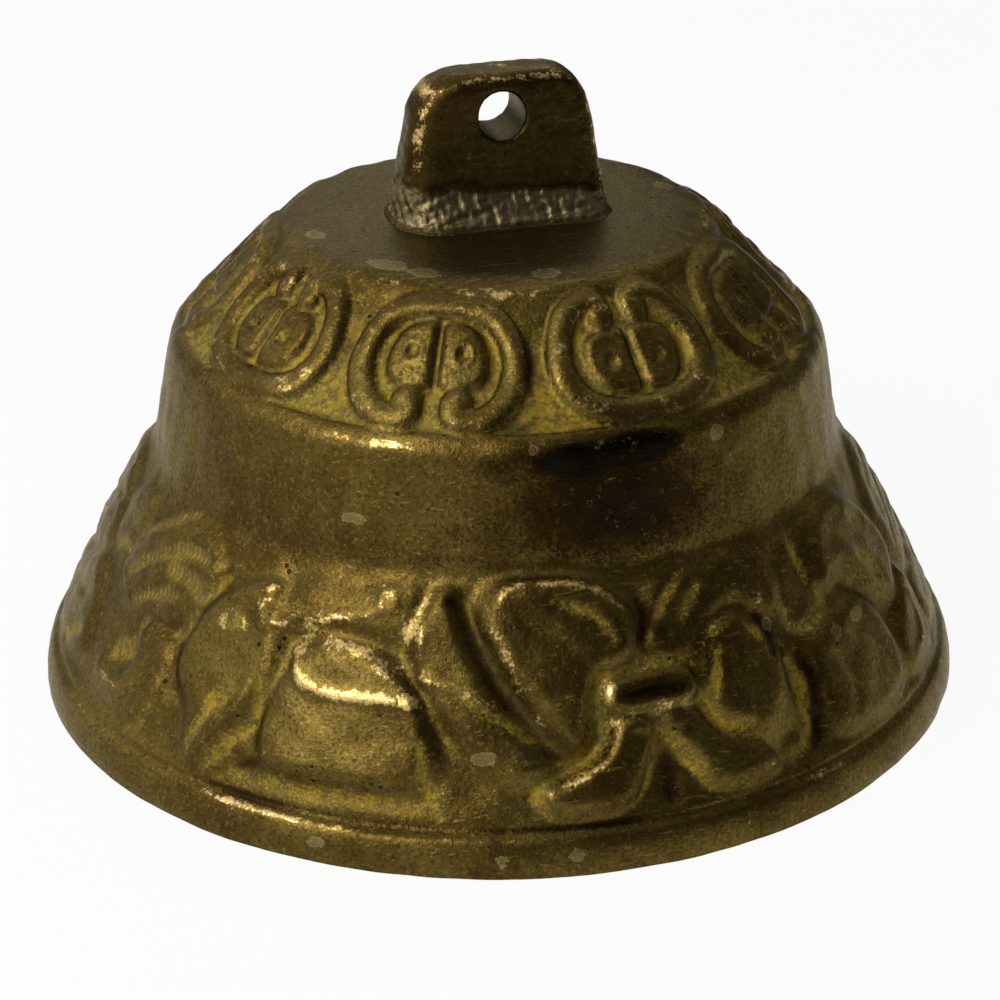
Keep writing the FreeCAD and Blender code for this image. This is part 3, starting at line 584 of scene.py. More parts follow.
def casting_piece():
    distances = casting_rows()
    outline = np.array(OUTLINE).T
    radius, level = (np.interp(distances, outline[0], sizes) for sizes in outline[1:])
    ahead = np.column_stack([np.gradient(radius), np.gradient(level)])
    ahead /= np.linalg.norm(ahead, axis=1)[:, None]
    radius, level = radius[:, None], level[:, None]
    turns = np.arange(COLUMNS) * 360 / COLUMNS - SKIRT_PERIOD / 2
    angle = np.radians(turns + CAMERA_TURN)
    ripple = partial(waves, *around(radius, angle, level))
    height, marks = casting_relief_and_marks(distances, turns, ripple, outline)
    z = np.clip(level - height * ahead[:, :1], 0, CROWN_HEIGHT)
    outside = np.dstack(around(radius + height * ahead[:, 1:], angle, z)).reshape(-1, 3)

    r, z = np.hsplit(np.array(INSIDE), 2)
    rough = 0.05 * waves(*around(r, angle, z), 5.0, 4) * smooth_step(z, 0.3, 4)
    rough *= smooth_step(r, 4, 12)
    lining = np.dstack(around(r + rough, angle, z)).reshape(-1, 3)

    points = np.vstack([outside, lining, [[0, 0, CROWN_HEIGHT], [0, 0, ROOF_HEIGHT]]])
    rows, inner = len(distances), len(INSIDE)
    start, top, roof = rows * COLUMNS, len(points) - 2, len(points) - 1
    here = np.arange(COLUMNS)
    after = (here + 1) % COLUMNS
    faces = rounds(rows, COLUMNS) + [f[::-1] for f in rounds(inner, COLUMNS, start)]
    faces += np.column_stack([after, here, start + here, start + after]).tolist()
    faces += [(start - COLUMNS + a, start - COLUMNS + b, top) for a, b in zip(here, after)]
    faces += [(top - COLUMNS + b, top - COLUMNS + a, roof) for a, b in zip(here, after)]
    mesh = joined_mesh("bell_casting_relief", [(points, faces)])
    unmarked = np.zeros(len(points) - start)
    marks = {name: np.append(values, unmarked) for name, values in marks.items()}
    marks["crown"][top] = 1
    set_marks(mesh, lining=np.repeat([0, 1, 0, 1], [start, inner * COLUMNS, 1, 1]), **marks)
    return new_piece("bell_casting_relief", "bell", ["bell_casting"], mesh)


# Lug: (height over the crown, half width, half depth) of its sides, with sharp corners.
LUG_SIDES = [(0, 9.2, 5.65), (0.12, 9.02, 5.3), (0.35, 8.86, 4.92), (0.7, 8.72, 4.55),
    (1.2, 8.6, 4.18), (2.1, 8.42, 3.7), (3, 8.3, 3.38), (5.5, 7.9, 3.12), (9, 7.3, 2.88),
    (12.2, 6.8, 2.6)]
# Its height, the roundings of its upper corners and of its upright edges by side (-1 is the left),
# the rounding over its top, how much wider it is on each side, and the softer edges at its foot.
LUG_HEIGHT = 12.2
LUG_CORNERS, LUG_CORNER = {-1: 3.4, 1: 2.7}, 3.4
LUG_EDGES, LUG_EDGE = {-1: 2.3, 1: 1.4}, 1.2
LUG_LEAN = {-1: 0.05, 1: 0.35}
LUG_FOOT, LUG_FOOT_ROUND = 2.6, 2.2
LUG_HOLE_HEIGHT, LUG_HOLE_RADIUS = 8.8, 2.0
LUG_VOXEL = 0.2
# The line where the chisel marks end, and the marks.
SEAM_HEIGHT, SEAM_SLOPE = 3.0, -0.06
CHISEL_PITCH, CHISEL_DEPTH = 1.12, 0.14


def lathed(profile, columns, closed=False):
    """Points and faces of a turned form through (radius, height) points, from the top down."""
    radius, level = np.array(profile, float).T
    angle = np.arange(columns) * 2 * math.pi / columns
    points = np.dstack([np.outer(radius, np.cos(angle)), np.outer(radius, np.sin(angle)),
                        np.repeat(level[:, None], columns, axis=1)]).reshape(-1, 3)
    return points, [face[::-1] for face in tube(len(radius), columns, closed)]


def swept(path, normal, radius, sides=20, closed=False):
    """Points and faces of a round bar along a flat path whose plane has the given normal."""
    path, normal = np.array(path, float), np.array(normal, float)
    if closed:
        along = np.roll(path, -1, axis=0) - np.roll(path, 1, axis=0)
    else:
        along = np.gradient(path, axis=0)
    along /= np.linalg.norm(along, axis=1)[:, None]
    side = np.cross(normal, along)
    angle = np.arange(sides) * 2 * math.pi / sides
    ring = side[:, None] * np.cos(angle)[None, :, None] + normal * np.sin(angle)[None, :, None]
    return (path[:, None] + ring * radius).reshape(-1, 3), tube(len(path), sides, closed)


def arc(centre, radius, first, last, steps, across, up):
    """Points of an arc in the plane of across and up, with its angles in degrees."""
    angles = np.radians(np.linspace(first, last, steps))[:, None]
    across, up = np.array(across, float), np.array(up, float)
    return np.array(centre, float) + radius * (np.cos(angles) * across + np.sin(angles) * up)


def modelled(mesh, voxel, smoothing, cutter=None):
    """The mesh made one even skin, with an optional form cut away from it."""
    made = [add_object("made", mesh)]
    if cutter:
        made.append(add_object("cutter", cutter))
        cut = made[0].modifiers.new("cut", "BOOLEAN")
        cut.operation, cut.object, cut.solver = "DIFFERENCE", made[1], "EXACT"
    skin = made[0].modifiers.new("skin", "REMESH")
    skin.mode, skin.voxel_size, skin.adaptivity = "VOXEL", voxel, 0.0
    soften = made[0].modifiers.new("soften", "SMOOTH")
    soften.factor, soften.iterations = 0.5, smoothing
    graph = bpy.context.evaluated_depsgraph_get()
    result = bpy.data.meshes.new_from_object(made[0].evaluated_get(graph))
    for old in made:
        data = old.data
        bpy.data.objects.remove(old)
        bpy.data.meshes.remove(data)
    return result


def places_and_normals(mesh):
    found = []
    for kind in ("co", "normal"):
        values = np.empty(len(mesh.vertices) * 3)
        mesh.vertices.foreach_get(kind, values)
        found.append(values.reshape(-1, 3))
    return found


def rounded_off(level, radius):
    """How far the lug's side has drawn in at a level under its top, with a rounded corner."""
    past = min(1, max(0, (level - LUG_HEIGHT + radius) / radius))
    return radius * (1 - math.sqrt(1 - past * past))


def lug_blank():
    heights, half_widths, half_depths = np.array(LUG_SIDES).T
    levels = np.unique(np.concatenate([
        np.linspace(0, 3.2, 14), np.linspace(3.2, LUG_HEIGHT - LUG_CORNER, 8),
        LUG_HEIGHT - LUG_CORNER * (1 - np.sin(np.linspace(0, math.pi / 2, 22)))]))
    quarter = np.radians(np.linspace(0, 90, 7))
    rings = []
    for level in levels:
        width = np.interp(level, heights, half_widths)
        depth = np.interp(level, heights, half_depths) - rounded_off(level, LUG_EDGE)
        for sx, sy, turned in ((1, 1, False), (-1, 1, True), (-1, -1, False), (1, -1, True)):
            edge = LUG_EDGES[sx] + LUG_FOOT_ROUND * max(0, 1 - level / LUG_FOOT)
            edge = min(edge, depth * 0.9)
            side = width + LUG_LEAN[sx] - rounded_off(level, LUG_CORNERS[sx])
            for a in quarter[::-1] if turned else quarter:
                rings.append((sx * (side - edge + edge * math.cos(a)),
                              sy * (depth - edge + edge * math.sin(a)), CROWN_HEIGHT + level))
    return joined_mesh("lug_blank", [(np.array(rings), tube(len(levels), len(quarter) * 4))])


def lug_drill():
    points, faces = lathed([(LUG_HOLE_RADIUS, 9), (LUG_HOLE_RADIUS, -9)], 56)
    points = np.column_stack([points[:, 0], -points[:, 2],
                              points[:, 1] + CROWN_HEIGHT + LUG_HOLE_HEIGHT])
    return joined_mesh("lug_drill", [(points, faces)])


def lug_piece():
    mesh = modelled(lug_blank(), LUG_VOXEL, 3, lug_drill())
    places, normals = places_and_normals(mesh)
    x, y, z = places.T
    ripple = partial(waves, x, y, z)
    level = z - CROWN_HEIGHT
    from_hole = np.hypot(x, level - LUG_HOLE_HEIGHT) - LUG_HOLE_RADIUS
    facing = np.abs(normals[:, 1]) > np.abs(normals[:, 0])
    round_way = np.where(facing, x, y * 0.9 + 3.3)
    seam = SEAM_HEIGHT + SEAM_SLOPE * x + 0.14 * ripple(2.4, 22)
    seam += 0.1 * ripple(6.0, 23)
    marked = band(level, 0.1, 0.5, seam - 0.5, seam + 0.1)
    row = 0.5 * smooth_step(level, 0.48 * seam, 0.58 * seam)
    stroke = np.abs(np.sin(math.pi * (round_way / CHISEL_PITCH + row) + 0.12 * ripple(3.2, 21)))
    notch = np.clip(1 - stroke * 2.1, 0, 1) ** 0.8
    uneven = 0.7 + 0.3 * ripple(1.6, 24)
    push = -CHISEL_DEPTH * notch * marked * uneven + 0.05 * marked * ripple(0.9, 25)
    groove = np.exp(-((level - seam - 0.12) / 0.25) ** 2)
    push -= 0.07 * groove
    body = smooth_step(level, seam, seam + 0.6)
    push += body * (0.035 * ripple(4.5, 26) + 0.014 * ripple(1.3, 27))
    push *= smooth_step(from_hole, 0.0, 0.5)
    places += normals * push[:, None]
    places[:, 2] = np.clip(places[:, 2], CROWN_HEIGHT, CROWN_HEIGHT + LUG_HEIGHT)
    mesh.vertices.foreach_set("co", places.ravel())

    across = np.sort(np.abs(normals), axis=1)
    edge = smooth_step(across[:, 1], 0.28, 0.68) * body * smooth_step(from_hole, 0.3, 1.0)
    # Rubbed edges, brighter towards the top and on the top face, with a painted highlight down the
    # left side.
    upper, left = smooth_step(level, 6.5, 11.0), 1 - smooth_step(x, -7.5, -4.0)
    worn = edge * (0.36 + 0.2 * upper + 0.04 * left) + 0.08 * edge * ripple(1.6, 28)
    worn = np.maximum(worn, 0.3 * smooth_step(normals[:, 2], 0.5, 0.9) * smooth_step(level, 9, 11))
    bore = 1 - smooth_step(from_hole, -0.1, 0.25)
    nothing = np.zeros(len(places))
    # Painted shade in the groove over the seam and in the chisel notches.
    set_marks(mesh, ochre=marked * (0.12 + 0.25 * notch) * (1 - bore), worn=np.clip(worn, 0, 1),
              grime=np.clip(groove * 0.6 + 0.2 * marked * notch, 0, 1),
              crown=np.maximum(1.5 * marked, 1 - smooth_step(level, 0.6, 1.6)), bore=bore,
              lining=nothing, flake=nothing, ribbed=nothing)
    return new_piece("suspension_lug_filed", "bell", ["suspension_lug"], mesh)


# Fittings inside the bell, as the solids have them.
STAPLE_LEVEL, STAPLE_BEND, STAPLE_RADIUS, STAPLE_TOP = 36.4, 3.2, 1.1, 39.5
LINK_HIGH, LINK_LOW, LINK_BEND, LINK_RADIUS = 33.2, 30.7, 2.4, 0.92
EYE_LEVEL, EYE_BEND, EYE_RADIUS = 28.3, 2.3, 1.0
SHANK = [(0.35, 26.9), (0.8, 26.7), (1.08, 26.2), (0.96, 25.4), (0.88, 24.4), (0.96, 21.6),
    (1.12, 19), (1.28, 17.9), (1.7, 17.72), (2.02, 17.5), (2.08, 17.1), (2.04, 16.74),
    (1.9, 16.66), (1.05, 16.6), (1.05, 2.4), (1.95, 2.34), (2.06, 2.14), (1.9, 1.9), (1.45, 1.68),
    (0.8, 1.58)]
BALL_MIDDLE = 9.5
BALL_CORNERS = [(2.35, 7.14), (4.6, 6.2), (6.55, 3.3), (6.9, 0.9), (6.9, -0.9), (6.55, -3.3),
    (4.6, -6.2), (2.35, -7.14)]
BORE_RADIUS = 1.12
X_WAY, Y_WAY, UP_WAY = (1, 0, 0), (0, 1, 0), (0, 0, 1)


def worked_iron(mesh, seed, amount):
    """Hammer marks pressed into a bar's surface. Gives the places that its points move to."""
    places, normals = places_and_normals(mesh)
    ripple = partial(waves, *places.T)
    push = amount * np.minimum(ripple(2.2, seed), 0.4)
    push += amount * 0.4 * ripple(0.9, seed + 1)
    places += normals * push[:, None]
    mesh.vertices.foreach_set("co", places.ravel())
    return places


def staple_piece():
    left, right = (-STAPLE_BEND, 0, STAPLE_TOP), (STAPLE_BEND, 0, STAPLE_TOP)
    bend = arc((0, 0, STAPLE_LEVEL), STAPLE_BEND, 180, 360, 32, X_WAY, UP_WAY)
    path = np.vstack([np.linspace(left, bend[0], 12)[:-1], bend,
                      np.linspace(bend[-1], right, 12)[1:]])
    mesh = joined_mesh("staple", [swept(path, Y_WAY, STAPLE_RADIUS, 24)])
    level = worked_iron(mesh, 31, 0.04)[:, 2]
    low = 1 - smooth_step(level, STAPLE_LEVEL - 2.6, STAPLE_LEVEL - 1.4)
    set_marks(mesh, worn=low * smooth_step(level, 32.6, 33.6))
    return new_piece("clapper_staple_forged", "bell", ["clapper_staple"], mesh)


def link_piece():
    sides = [np.linspace((0, y, first), (0, y, last), 8)[1:-1] for y, first, last in
             ((-LINK_BEND, LINK_HIGH, LINK_LOW), (LINK_BEND, LINK_LOW, LINK_HIGH))]
    path = np.vstack([arc((0, 0, LINK_HIGH), LINK_BEND, 0, 180, 28, Y_WAY, UP_WAY), sides[0],
                      arc((0, 0, LINK_LOW), LINK_BEND, 180, 360, 28, Y_WAY, UP_WAY), sides[1]])
    mesh = joined_mesh("link", [swept(path, X_WAY, LINK_RADIUS, 24, closed=True)])
    _, y, z = worked_iron(mesh, 41, 0.035).T
    ends = smooth_step(np.abs(z - (LINK_HIGH + LINK_LOW) / 2), 2.2, 3.0)
    set_marks(mesh, worn=ends * (1 - smooth_step(np.abs(y), 0.6, 1.8)))
    return new_piece("clapper_link_forged", "link", ["clapper_link"], mesh)


def rod_piece():
    path = arc((0, 0, EYE_LEVEL), EYE_BEND, 0, 360, 57, X_WAY, UP_WAY)[:-1]
    eye = swept(path, Y_WAY, EYE_RADIUS, 20, closed=True)
    mesh = modelled(joined_mesh("rod", [eye, lathed(SHANK, 32)]), 0.16, 3)
    level = worked_iron(mesh, 51, 0.035)[:, 2]
    at_eye = 1 - smooth_step(np.abs(level - (EYE_LEVEL + EYE_BEND)), 0.4, 1.6)
    set_marks(mesh, worn=np.maximum(at_eye, (1 - smooth_step(level, 1.7, 2.2)) * 0.8))
    return new_piece("clapper_rod_forged", "clapper", ["clapper_rod"], mesh)


def rounded_corners(points, times):
    """Corners cut again and again, which keeps the curve inside them."""
    points = np.array(points, float)
    for _ in range(times):
        near, far = points[:-1] * 0.75 + points[1:] * 0.25, points[:-1] * 0.25 + points[1:] * 0.75
        middle = np.stack([near, far], axis=1).reshape(-1, 2)
        points = np.vstack([points[:1], middle, points[-1:]])
    return points


def ball_piece():
    side = rounded_corners(BALL_CORNERS, 3) + [0, BALL_MIDDLE]
    top, foot = side[0, 1], side[-1, 1]
    bore = [(BORE_RADIUS, level) for level in np.linspace(foot, top, 5)]
    profile = [(BORE_RADIUS + 0.3, top), *side.tolist(), (BORE_RADIUS + 0.3, foot), *bore]
    mesh = joined_mesh("ball", [lathed(profile, 96, closed=True)])
    places, normals = places_and_normals(mesh)
    x, y, z = places.T
    out = smooth_step(np.hypot(x, y), 2.6, 4.5)
    push = 0.05 * np.minimum(waves(x, y, z, 5.0, 61), 0.2) + 0.02 * waves(x, y, z, 1.7, 62)
    places += normals * (push * out)[:, None]
    mesh.vertices.foreach_set("co", places.ravel())
    set_marks(mesh, worn=(1 - smooth_step(np.abs(z - BALL_MIDDLE + 1.2), 1.2, 3.4)) * out)
    return new_piece("clapper_ball_turned", "clapper", ["clapper_ball"], mesh)


# Camera, solved from the photograph.
CAMERA_REACH, CAMERA_HEIGHT = 220.4, 115.9
CAMERA_PITCH, CAMERA_ROLL = 24.9, -0.5
FOCAL_PIXELS, PICTURE_PIXELS, SENSOR_WIDTH = 2775, 1000, 36.0
AXIS_PIXEL = 497.3
# Height that the lamps look at, half the floor's width in metres, the share of the floor that
# shows as white, and the world's strength as light.
LAMP_AIM, FLOOR_HALF, FLOOR_GLOW, WORLD_LIGHT = 25, 1.5, 0.93, 0.5


def make_camera():
    data = bpy.data.cameras.new("camera")
    data.sensor_width = SENSOR_WIDTH
    data.lens = FOCAL_PIXELS / PICTURE_PIXELS * SENSOR_WIDTH
    data.shift_x = (PICTURE_PIXELS / 2 - AXIS_PIXEL) / PICTURE_PIXELS
    data.clip_start, data.clip_end = 0.01, 20
    camera = add_object("camera", data)
    pitch, roll = math.radians(CAMERA_PITCH), math.radians(CAMERA_ROLL)
    ahead = Vector((0, math.cos(pitch), -math.sin(pitch)))
    right = Vector((1, 0, 0))
    up = right.cross(ahead)
    rolled_right = right * math.cos(roll) + up * math.sin(roll)
    rolled_up = up * math.cos(roll) - right * math.sin(roll)
    turned = Matrix((rolled_right, rolled_up, -ahead)).transposed().to_4x4()
    place = Matrix.Translation(Vector((0, -CAMERA_REACH, CAMERA_HEIGHT)) * MM)
    camera.matrix_world = Matrix.Rotation(math.radians(CAMERA_TURN), 4, "Z") @ place @ turned
    bpy.context.scene.camera = camera


def outward(turn, rise):
    """The direction away from the bell at a turn and a rise in degrees."""
    a, e = math.radians(turn + CAMERA_TURN), math.radians(rise)
    return Vector((math.sin(a) * math.cos(e), -math.cos(a) * math.cos(e), math.sin(e)))


def add_lamp(name, turn, rise, distance, size, power, colour):
    """A soft lamp that looks at the bell."""
    data = bpy.data.lights.new(name, "AREA")
    data.shape, data.size, data.size_y = "RECTANGLE", size[0], size[1]
    data.energy, data.color = power, colour
    lamp = add_object(name, data)
    back = outward(turn, rise)
    lamp.location = Vector((0, 0, LAMP_AIM * MM)) + back * distance
    lamp.rotation_mode = "QUATERNION"
    lamp.rotation_quaternion = back.to_track_quat("Z", "Y")


class Nodes:
    """The nodes of a material or a world, and short ways to add more."""

    def __init__(self, owner, surface="Principled BSDF"):
        owner.use_nodes = True
        self.tree = owner.node_tree
        self.surface = self.tree.nodes[surface]

    def node(self, kind, inputs=None, **settings):
        node = self.tree.nodes.new(kind)
        for name, value in settings.items():
            setattr(node, name, value)
        return self.fill(node, inputs or {})

    def fill(self, node, inputs):
        for key, value in inputs.items():
            self.put(node.inputs[key], value)
        return node

    def put(self, socket, value):
        """Links or sets a socket. A colour is three numbers."""
        if isinstance(value, bpy.types.NodeSocket):
            self.tree.links.new(value, socket)
        else:
            socket.default_value = (*value, 1.0) if socket.type == "RGBA" else value

    def math(self, operation, first, second=0.0):
        return self.node("ShaderNodeMath", {0: first, 1: second}, operation=operation).outputs[0]

    def either(self, factor, first, second):
        """Between two surfaces."""
        return self.node("ShaderNodeMixShader", {0: factor, 1: first, 2: second}).outputs[0]

    def any_ray(self, *kinds):
        """1 where one of the given outputs of Light Path is 1."""
        path = self.node("ShaderNodeLightPath").outputs
        found = path[kinds[0]]
        for kind in kinds[1:]:
            found = self.math("MAXIMUM", found, path[kind])
        return found


class Shader(Nodes):
    """A new material with its textures and mixes."""

    def __init__(self, name):
        self.material = bpy.data.materials.new(name)
        super().__init__(self.material)
        self.place = self.node("ShaderNodeTexCoord").outputs["Object"]

    def times(self, first, second):
        return self.math("MULTIPLY", first, second)

    def plus(self, first, second):
        return self.math("ADD", first, second)

    def minus(self, first, second):
        return self.math("SUBTRACT", first, second)

    def mix(self, factor, first, second):
        """Between two colours."""
        inputs = {0: factor, 6: first, 7: second}
        return self.node("ShaderNodeMix", inputs, data_type="RGBA").outputs[2]

    def blend(self, factor, first, second):
        """Between two numbers."""
        inputs = {0: factor, 2: first, 3: second}
        return self.node("ShaderNodeMix", inputs, data_type="FLOAT").outputs[0]

    def ramp(self, value, low, high, end=1.0, start=0.0):
        """Goes smoothly from start to end while the value goes from low to high."""
        inputs = {"Value": value, "From Min": low, "From Max": high, "To Min": start,
                  "To Max": end}
        node = self.node("ShaderNodeMapRange", inputs, interpolation_type="SMOOTHSTEP")
        return node.outputs["Result"]

    def mapped(self, **inputs):
        return self.node("ShaderNodeMapping", {"Vector": self.place, **inputs}).outputs[0]

    def noise(self, grain, detail=3.0, roughness=0.6, place=None):
        """Noise whose grain is a length in millimetres."""
        inputs = {"Vector": place or self.place, "Scale": 1 / (grain * MM), "Detail": detail,
                  "Roughness": roughness}
        return self.node("ShaderNodeTexNoise", inputs).outputs["Fac"]

    def cells(self, size):
        inputs = {"Vector": self.place, "Scale": 1 / (size * MM)}
        return self.node("ShaderNodeTexVoronoi", inputs).outputs["Distance"]

    def ribs(self, pitch, turned):
        """Upright stripes a pitch in millimetres apart, along a level direction in degrees."""
        inputs = {"Vector": self.mapped(Rotation=(0, 0, math.radians(-turned))),
                  "Scale": 2 * math.pi / (20 * pitch * MM), "Distortion": 1.2, "Detail": 1.0,
                  "Detail Scale": 2.0}
        return self.node("ShaderNodeTexWave", inputs).outputs["Fac"]

    def scratches(self):
        """Thin, sparse, straight marks in three directions."""
        found = 0.0
        for turned, seed in ((0.5, 3.0), (1.9, 11.0), (-0.7, 23.0)):
            place = self.mapped(Rotation=(turned, turned * 1.7, turned * 2.3),
                                Location=(seed, seed, seed), Scale=(0.09, 1.0, 1.0))
            mark = self.ramp(self.noise(0.35, 1, 0.5, place), 0.70, 0.76)
            found = self.math("MAXIMUM", mark, found)
        return found

    def value(self, name):
        return self.node("ShaderNodeAttribute", attribute_name=name).outputs["Fac"]

    def finish(self, colour, metallic, roughness, height, depth):
        bump = self.node("ShaderNodeBump", {"Height": height, "Distance": depth * MM})
        self.fill(self.surface, {"Base Color": colour, "Metallic": metallic,
                                 "Roughness": roughness, "Normal": bump.outputs[0]})
        return self.material


# Colours.
OLIVE, BROWN, GREY_BROWN = (0.118, 0.081, 0.017), (0.064, 0.037, 0.007), (0.055, 0.042, 0.019)
PORE, PALE_GRAIN, FLAKE = (0.026, 0.015, 0.003), (0.21, 0.155, 0.038), (0.30, 0.235, 0.100)
OCHRE, GREEN_OCHRE = (0.30, 0.195, 0.010), (0.17, 0.135, 0.012)
BRIGHT_OCHRE, LINING = (0.50, 0.36, 0.05), (0.07, 0.055, 0.03)
GOLD, ROSE_GOLD = (0.80, 0.57, 0.20), (0.74, 0.46, 0.24)
NEAR_BLACK, UMBER, CUT_BROWN = (0.008, 0.006, 0.003), (0.020, 0.008, 0.001), (0.19, 0.15, 0.078)
# The lug's skin, darkened as a painted dark reflection.
LUG_REFLECTION_DARK, LUG_REFLECTION_BROWN = (0.018, 0.010, 0.002), (0.048, 0.030, 0.006)
BORE_SHADE, WARM_GLOSS, WHITE = (0.020, 0.015, 0.008), (0.86, 0.80, 0.65), (1, 1, 1)
IRON_DARK, IRON_GREY, RUST = (0.035, 0.030, 0.027), (0.11, 0.10, 0.09), (0.13, 0.055, 0.022)
IRON_BRIGHT = (0.42, 0.38, 0.34)
BRASS_DARK, BRASS, BRASS_BRIGHT = (0.10, 0.07, 0.025), (0.27, 0.19, 0.07), (0.72, 0.53, 0.24)
# Fine stripes in the ochre on the skirt's left side: their pitch, and their way in degrees.
RIB_PITCH, RIB_WAY = 0.55, -70


def bronze(name, skin=(BROWN, OLIVE), marks=1.0, bored=False):
    """Old cast bronze: brown skin, ochre in hollows, bright rubbed metal, painted highlights."""
    shader = Shader(name)
    mix, blend, ramp, noise, value = (shader.mix, shader.blend, shader.ramp, shader.noise,
                                      shader.value)
    times, plus, minus = shader.times, shader.plus, shader.minus
    broad, middle, fine = noise(9.0), noise(1.6, 4), noise(0.32, 3, 0.7)
    ochre, worn, grime, crown = (value(kind) for kind in ("ochre", "worn", "grime", "crown"))
    colour = mix(ramp(broad, 0.35, 0.65), *skin)
    colour = mix(ramp(middle, 0.40, 0.75, 0.55), colour, skin[1])
    colour = mix(ramp(crown, 0.0, 1.0, 0.75), colour, GREY_BROWN)
    colour = mix(ramp(crown, 1.0, 1.5, 0.65), colour, CUT_BROWN)
    colour = mix(value("lining"), colour, LINING)
    colour = mix(ramp(fine, 0.46, 0.68, 0.7), colour, PORE)
    colour = mix(ramp(noise(0.40, 3, 0.75), 0.54, 0.68, 0.45 * marks), colour, PALE_GRAIN)
    scratched = shader.scratches()
    colour = mix(times(scratched, 0.4 * marks), colour, PALE_GRAIN)

    # Ochre, grime with painted shade, and bright metal with painted highlights, each with a ragged
    # edge.
    ragged = minus(plus(times(middle, 0.85), times(fine, 0.85)), 0.85)
    grain = times(ragged, 1.6)
    ochre_edge = ramp(plus(ochre, grain), 0.25, 0.95)
    tint = mix(ramp(noise(4.0), 0.35, 0.65), GREEN_OCHRE, OCHRE)
    tint = mix(ramp(noise(0.8, 4, 0.7), 0.45, 0.60, 0.8), tint, BROWN)
    tint = mix(ramp(fine, 0.50, 0.66, 0.5), tint, BRIGHT_OCHRE)
    ribbed = times(shader.ribs(RIB_PITCH, RIB_WAY), value("ribbed"))
    colour = mix(times(ochre_edge, blend(ribbed, 0.9, 0.25)), colour, tint)
    # Grime, and the painted shade in grooves, under the ledge and beside the medallions.
    grime_edge = ramp(plus(grime, ragged), 0.2, 0.8)
    dirt_and_shade_tone = mix(ramp(grime, 0.7, 1.1), UMBER, NEAR_BLACK)
    colour = mix(times(grime_edge, ramp(grime, 0.7, 1.2, 0.99, 0.92)), colour, dirt_and_shade_tone)
    # Bright metal where it is rubbed, and painted highlights.
    gold = mix(ramp(noise(2.2), 0.52, 0.66), GOLD, ROSE_GOLD)
    worn_edge = ramp(plus(worn, grain), 0.38, 0.85)
    colour = mix(times(worn_edge, 0.8), colour, gold)

    # Pits, and pale spots where the skin has flaked, both as marked and in thin rings.
    pits = times(ramp(shader.cells(1.5), 0.06, 0.14, 0.0, 1.0), ramp(noise(5.0), 0.48, 0.60))
    colour = mix(times(pits, 0.85), colour, NEAR_BLACK)
    flaked = plus(value("flake"), ragged)
    rings = shader.math("ABSOLUTE", minus(noise(0.8, 1.5, 0.5), 0.655))
    rings = times(ramp(rings, 0.004, 0.014, 0.0, 1.0), ramp(noise(9.0), 0.47, 0.56))
    spots = minus(ramp(flaked, 0.46, 0.52), ramp(flaked, 0.54, 0.62, 0.55))
    flakes = shader.math("MAXIMUM", spots, times(rings, 0.35 * marks))
    colour = mix(times(flakes, 0.75), colour, FLAKE)
    # Painted shade inside the lug's hole.
    if bored:
        colour = mix(value("bore"), colour, BORE_SHADE)

    rough = blend(ochre_edge, ramp(fine, 0.3, 0.8, 0.48, 0.30), 0.58)
    rough = blend(worn_edge, rough, 0.27)
    rough = blend(value("lining"), rough, 0.62)
    height = minus(plus(middle, times(fine, 0.7)), times(pits, 1.2))
    height = minus(height, times(scratched, 0.25 * marks))
    shader.put(shader.surface.inputs["Specular Tint"], WARM_GLOSS)
    return shader.finish(colour, blend(ochre_edge, 0.95, 0.45), rough, height, 0.07)


def iron(name):
    """Forged iron: dark scale, rust in patches, bright where it is rubbed."""
    shader = Shader(name)
    mix, blend, ramp, times, plus = (shader.mix, shader.blend, shader.ramp, shader.times,
                                     shader.plus)
    broad, middle, fine = shader.noise(3.0), shader.noise(0.8, 4), shader.noise(0.2, 3, 0.7)
    colour = mix(ramp(middle, 0.35, 0.7), IRON_DARK, IRON_GREY)
    rusted = ramp(plus(broad, times(fine, 0.4)), 0.66, 0.82)
    colour = mix(times(rusted, 0.8), colour, RUST)
    bright = ramp(plus(shader.value("worn"), shader.minus(middle, 0.5)), 0.35, 0.85)
    colour = mix(times(bright, 0.85), colour, IRON_BRIGHT)
    rough = blend(rusted, ramp(fine, 0.3, 0.8, 0.56, 0.36), 0.85)
    rough = blend(bright, rough, 0.28)
    return shader.finish(colour, blend(rusted, 0.9, 0.2), rough,
                         plus(middle, times(fine, 0.6)), 0.05)


def brass(name):
    """Dull turned brass with fine tool rings, bright where the ball strikes."""
    shader = Shader(name)
    mix, ramp, times, plus = shader.mix, shader.ramp, shader.times, shader.plus
    broad, middle, fine = shader.noise(4.0), shader.noise(1.0, 4), shader.noise(0.25, 3, 0.7)
    rings = shader.noise(0.16, 2, 0.5, shader.mapped(Scale=(0.02, 0.02, 1.0)))
    colour = mix(ramp(broad, 0.35, 0.65), BRASS_DARK, BRASS)
    colour = mix(ramp(fine, 0.5, 0.75, 0.5), colour, BRASS_DARK)
    bright = ramp(plus(shader.value("worn"), shader.minus(middle, 0.5)), 0.35, 0.95)
    colour = mix(times(bright, 0.85), colour, BRASS_BRIGHT)
    rough = shader.blend(bright, ramp(fine, 0.3, 0.8, 0.50, 0.34), 0.24)
    return shader.finish(colour, 0.95, rough, plus(times(rings, 0.6), times(middle, 0.7)), 0.03)


def stage_mesh(name, points, faces, shade, roughness, gloss):
    """A plain grey sheet of the studio, and the nodes of its material."""
    mesh = bpy.data.meshes.new(name)
    mesh.from_pydata(points, [], faces)
    material = bpy.data.materials.new(name + "_paper")
    mesh.materials.append(material)
    nodes = Nodes(material)
    nodes.fill(nodes.surface, {"Base Color": (shade, shade, shade), "Roughness": roughness,
                               "Specular IOR Level": gloss})
    return add_object(name, mesh), nodes


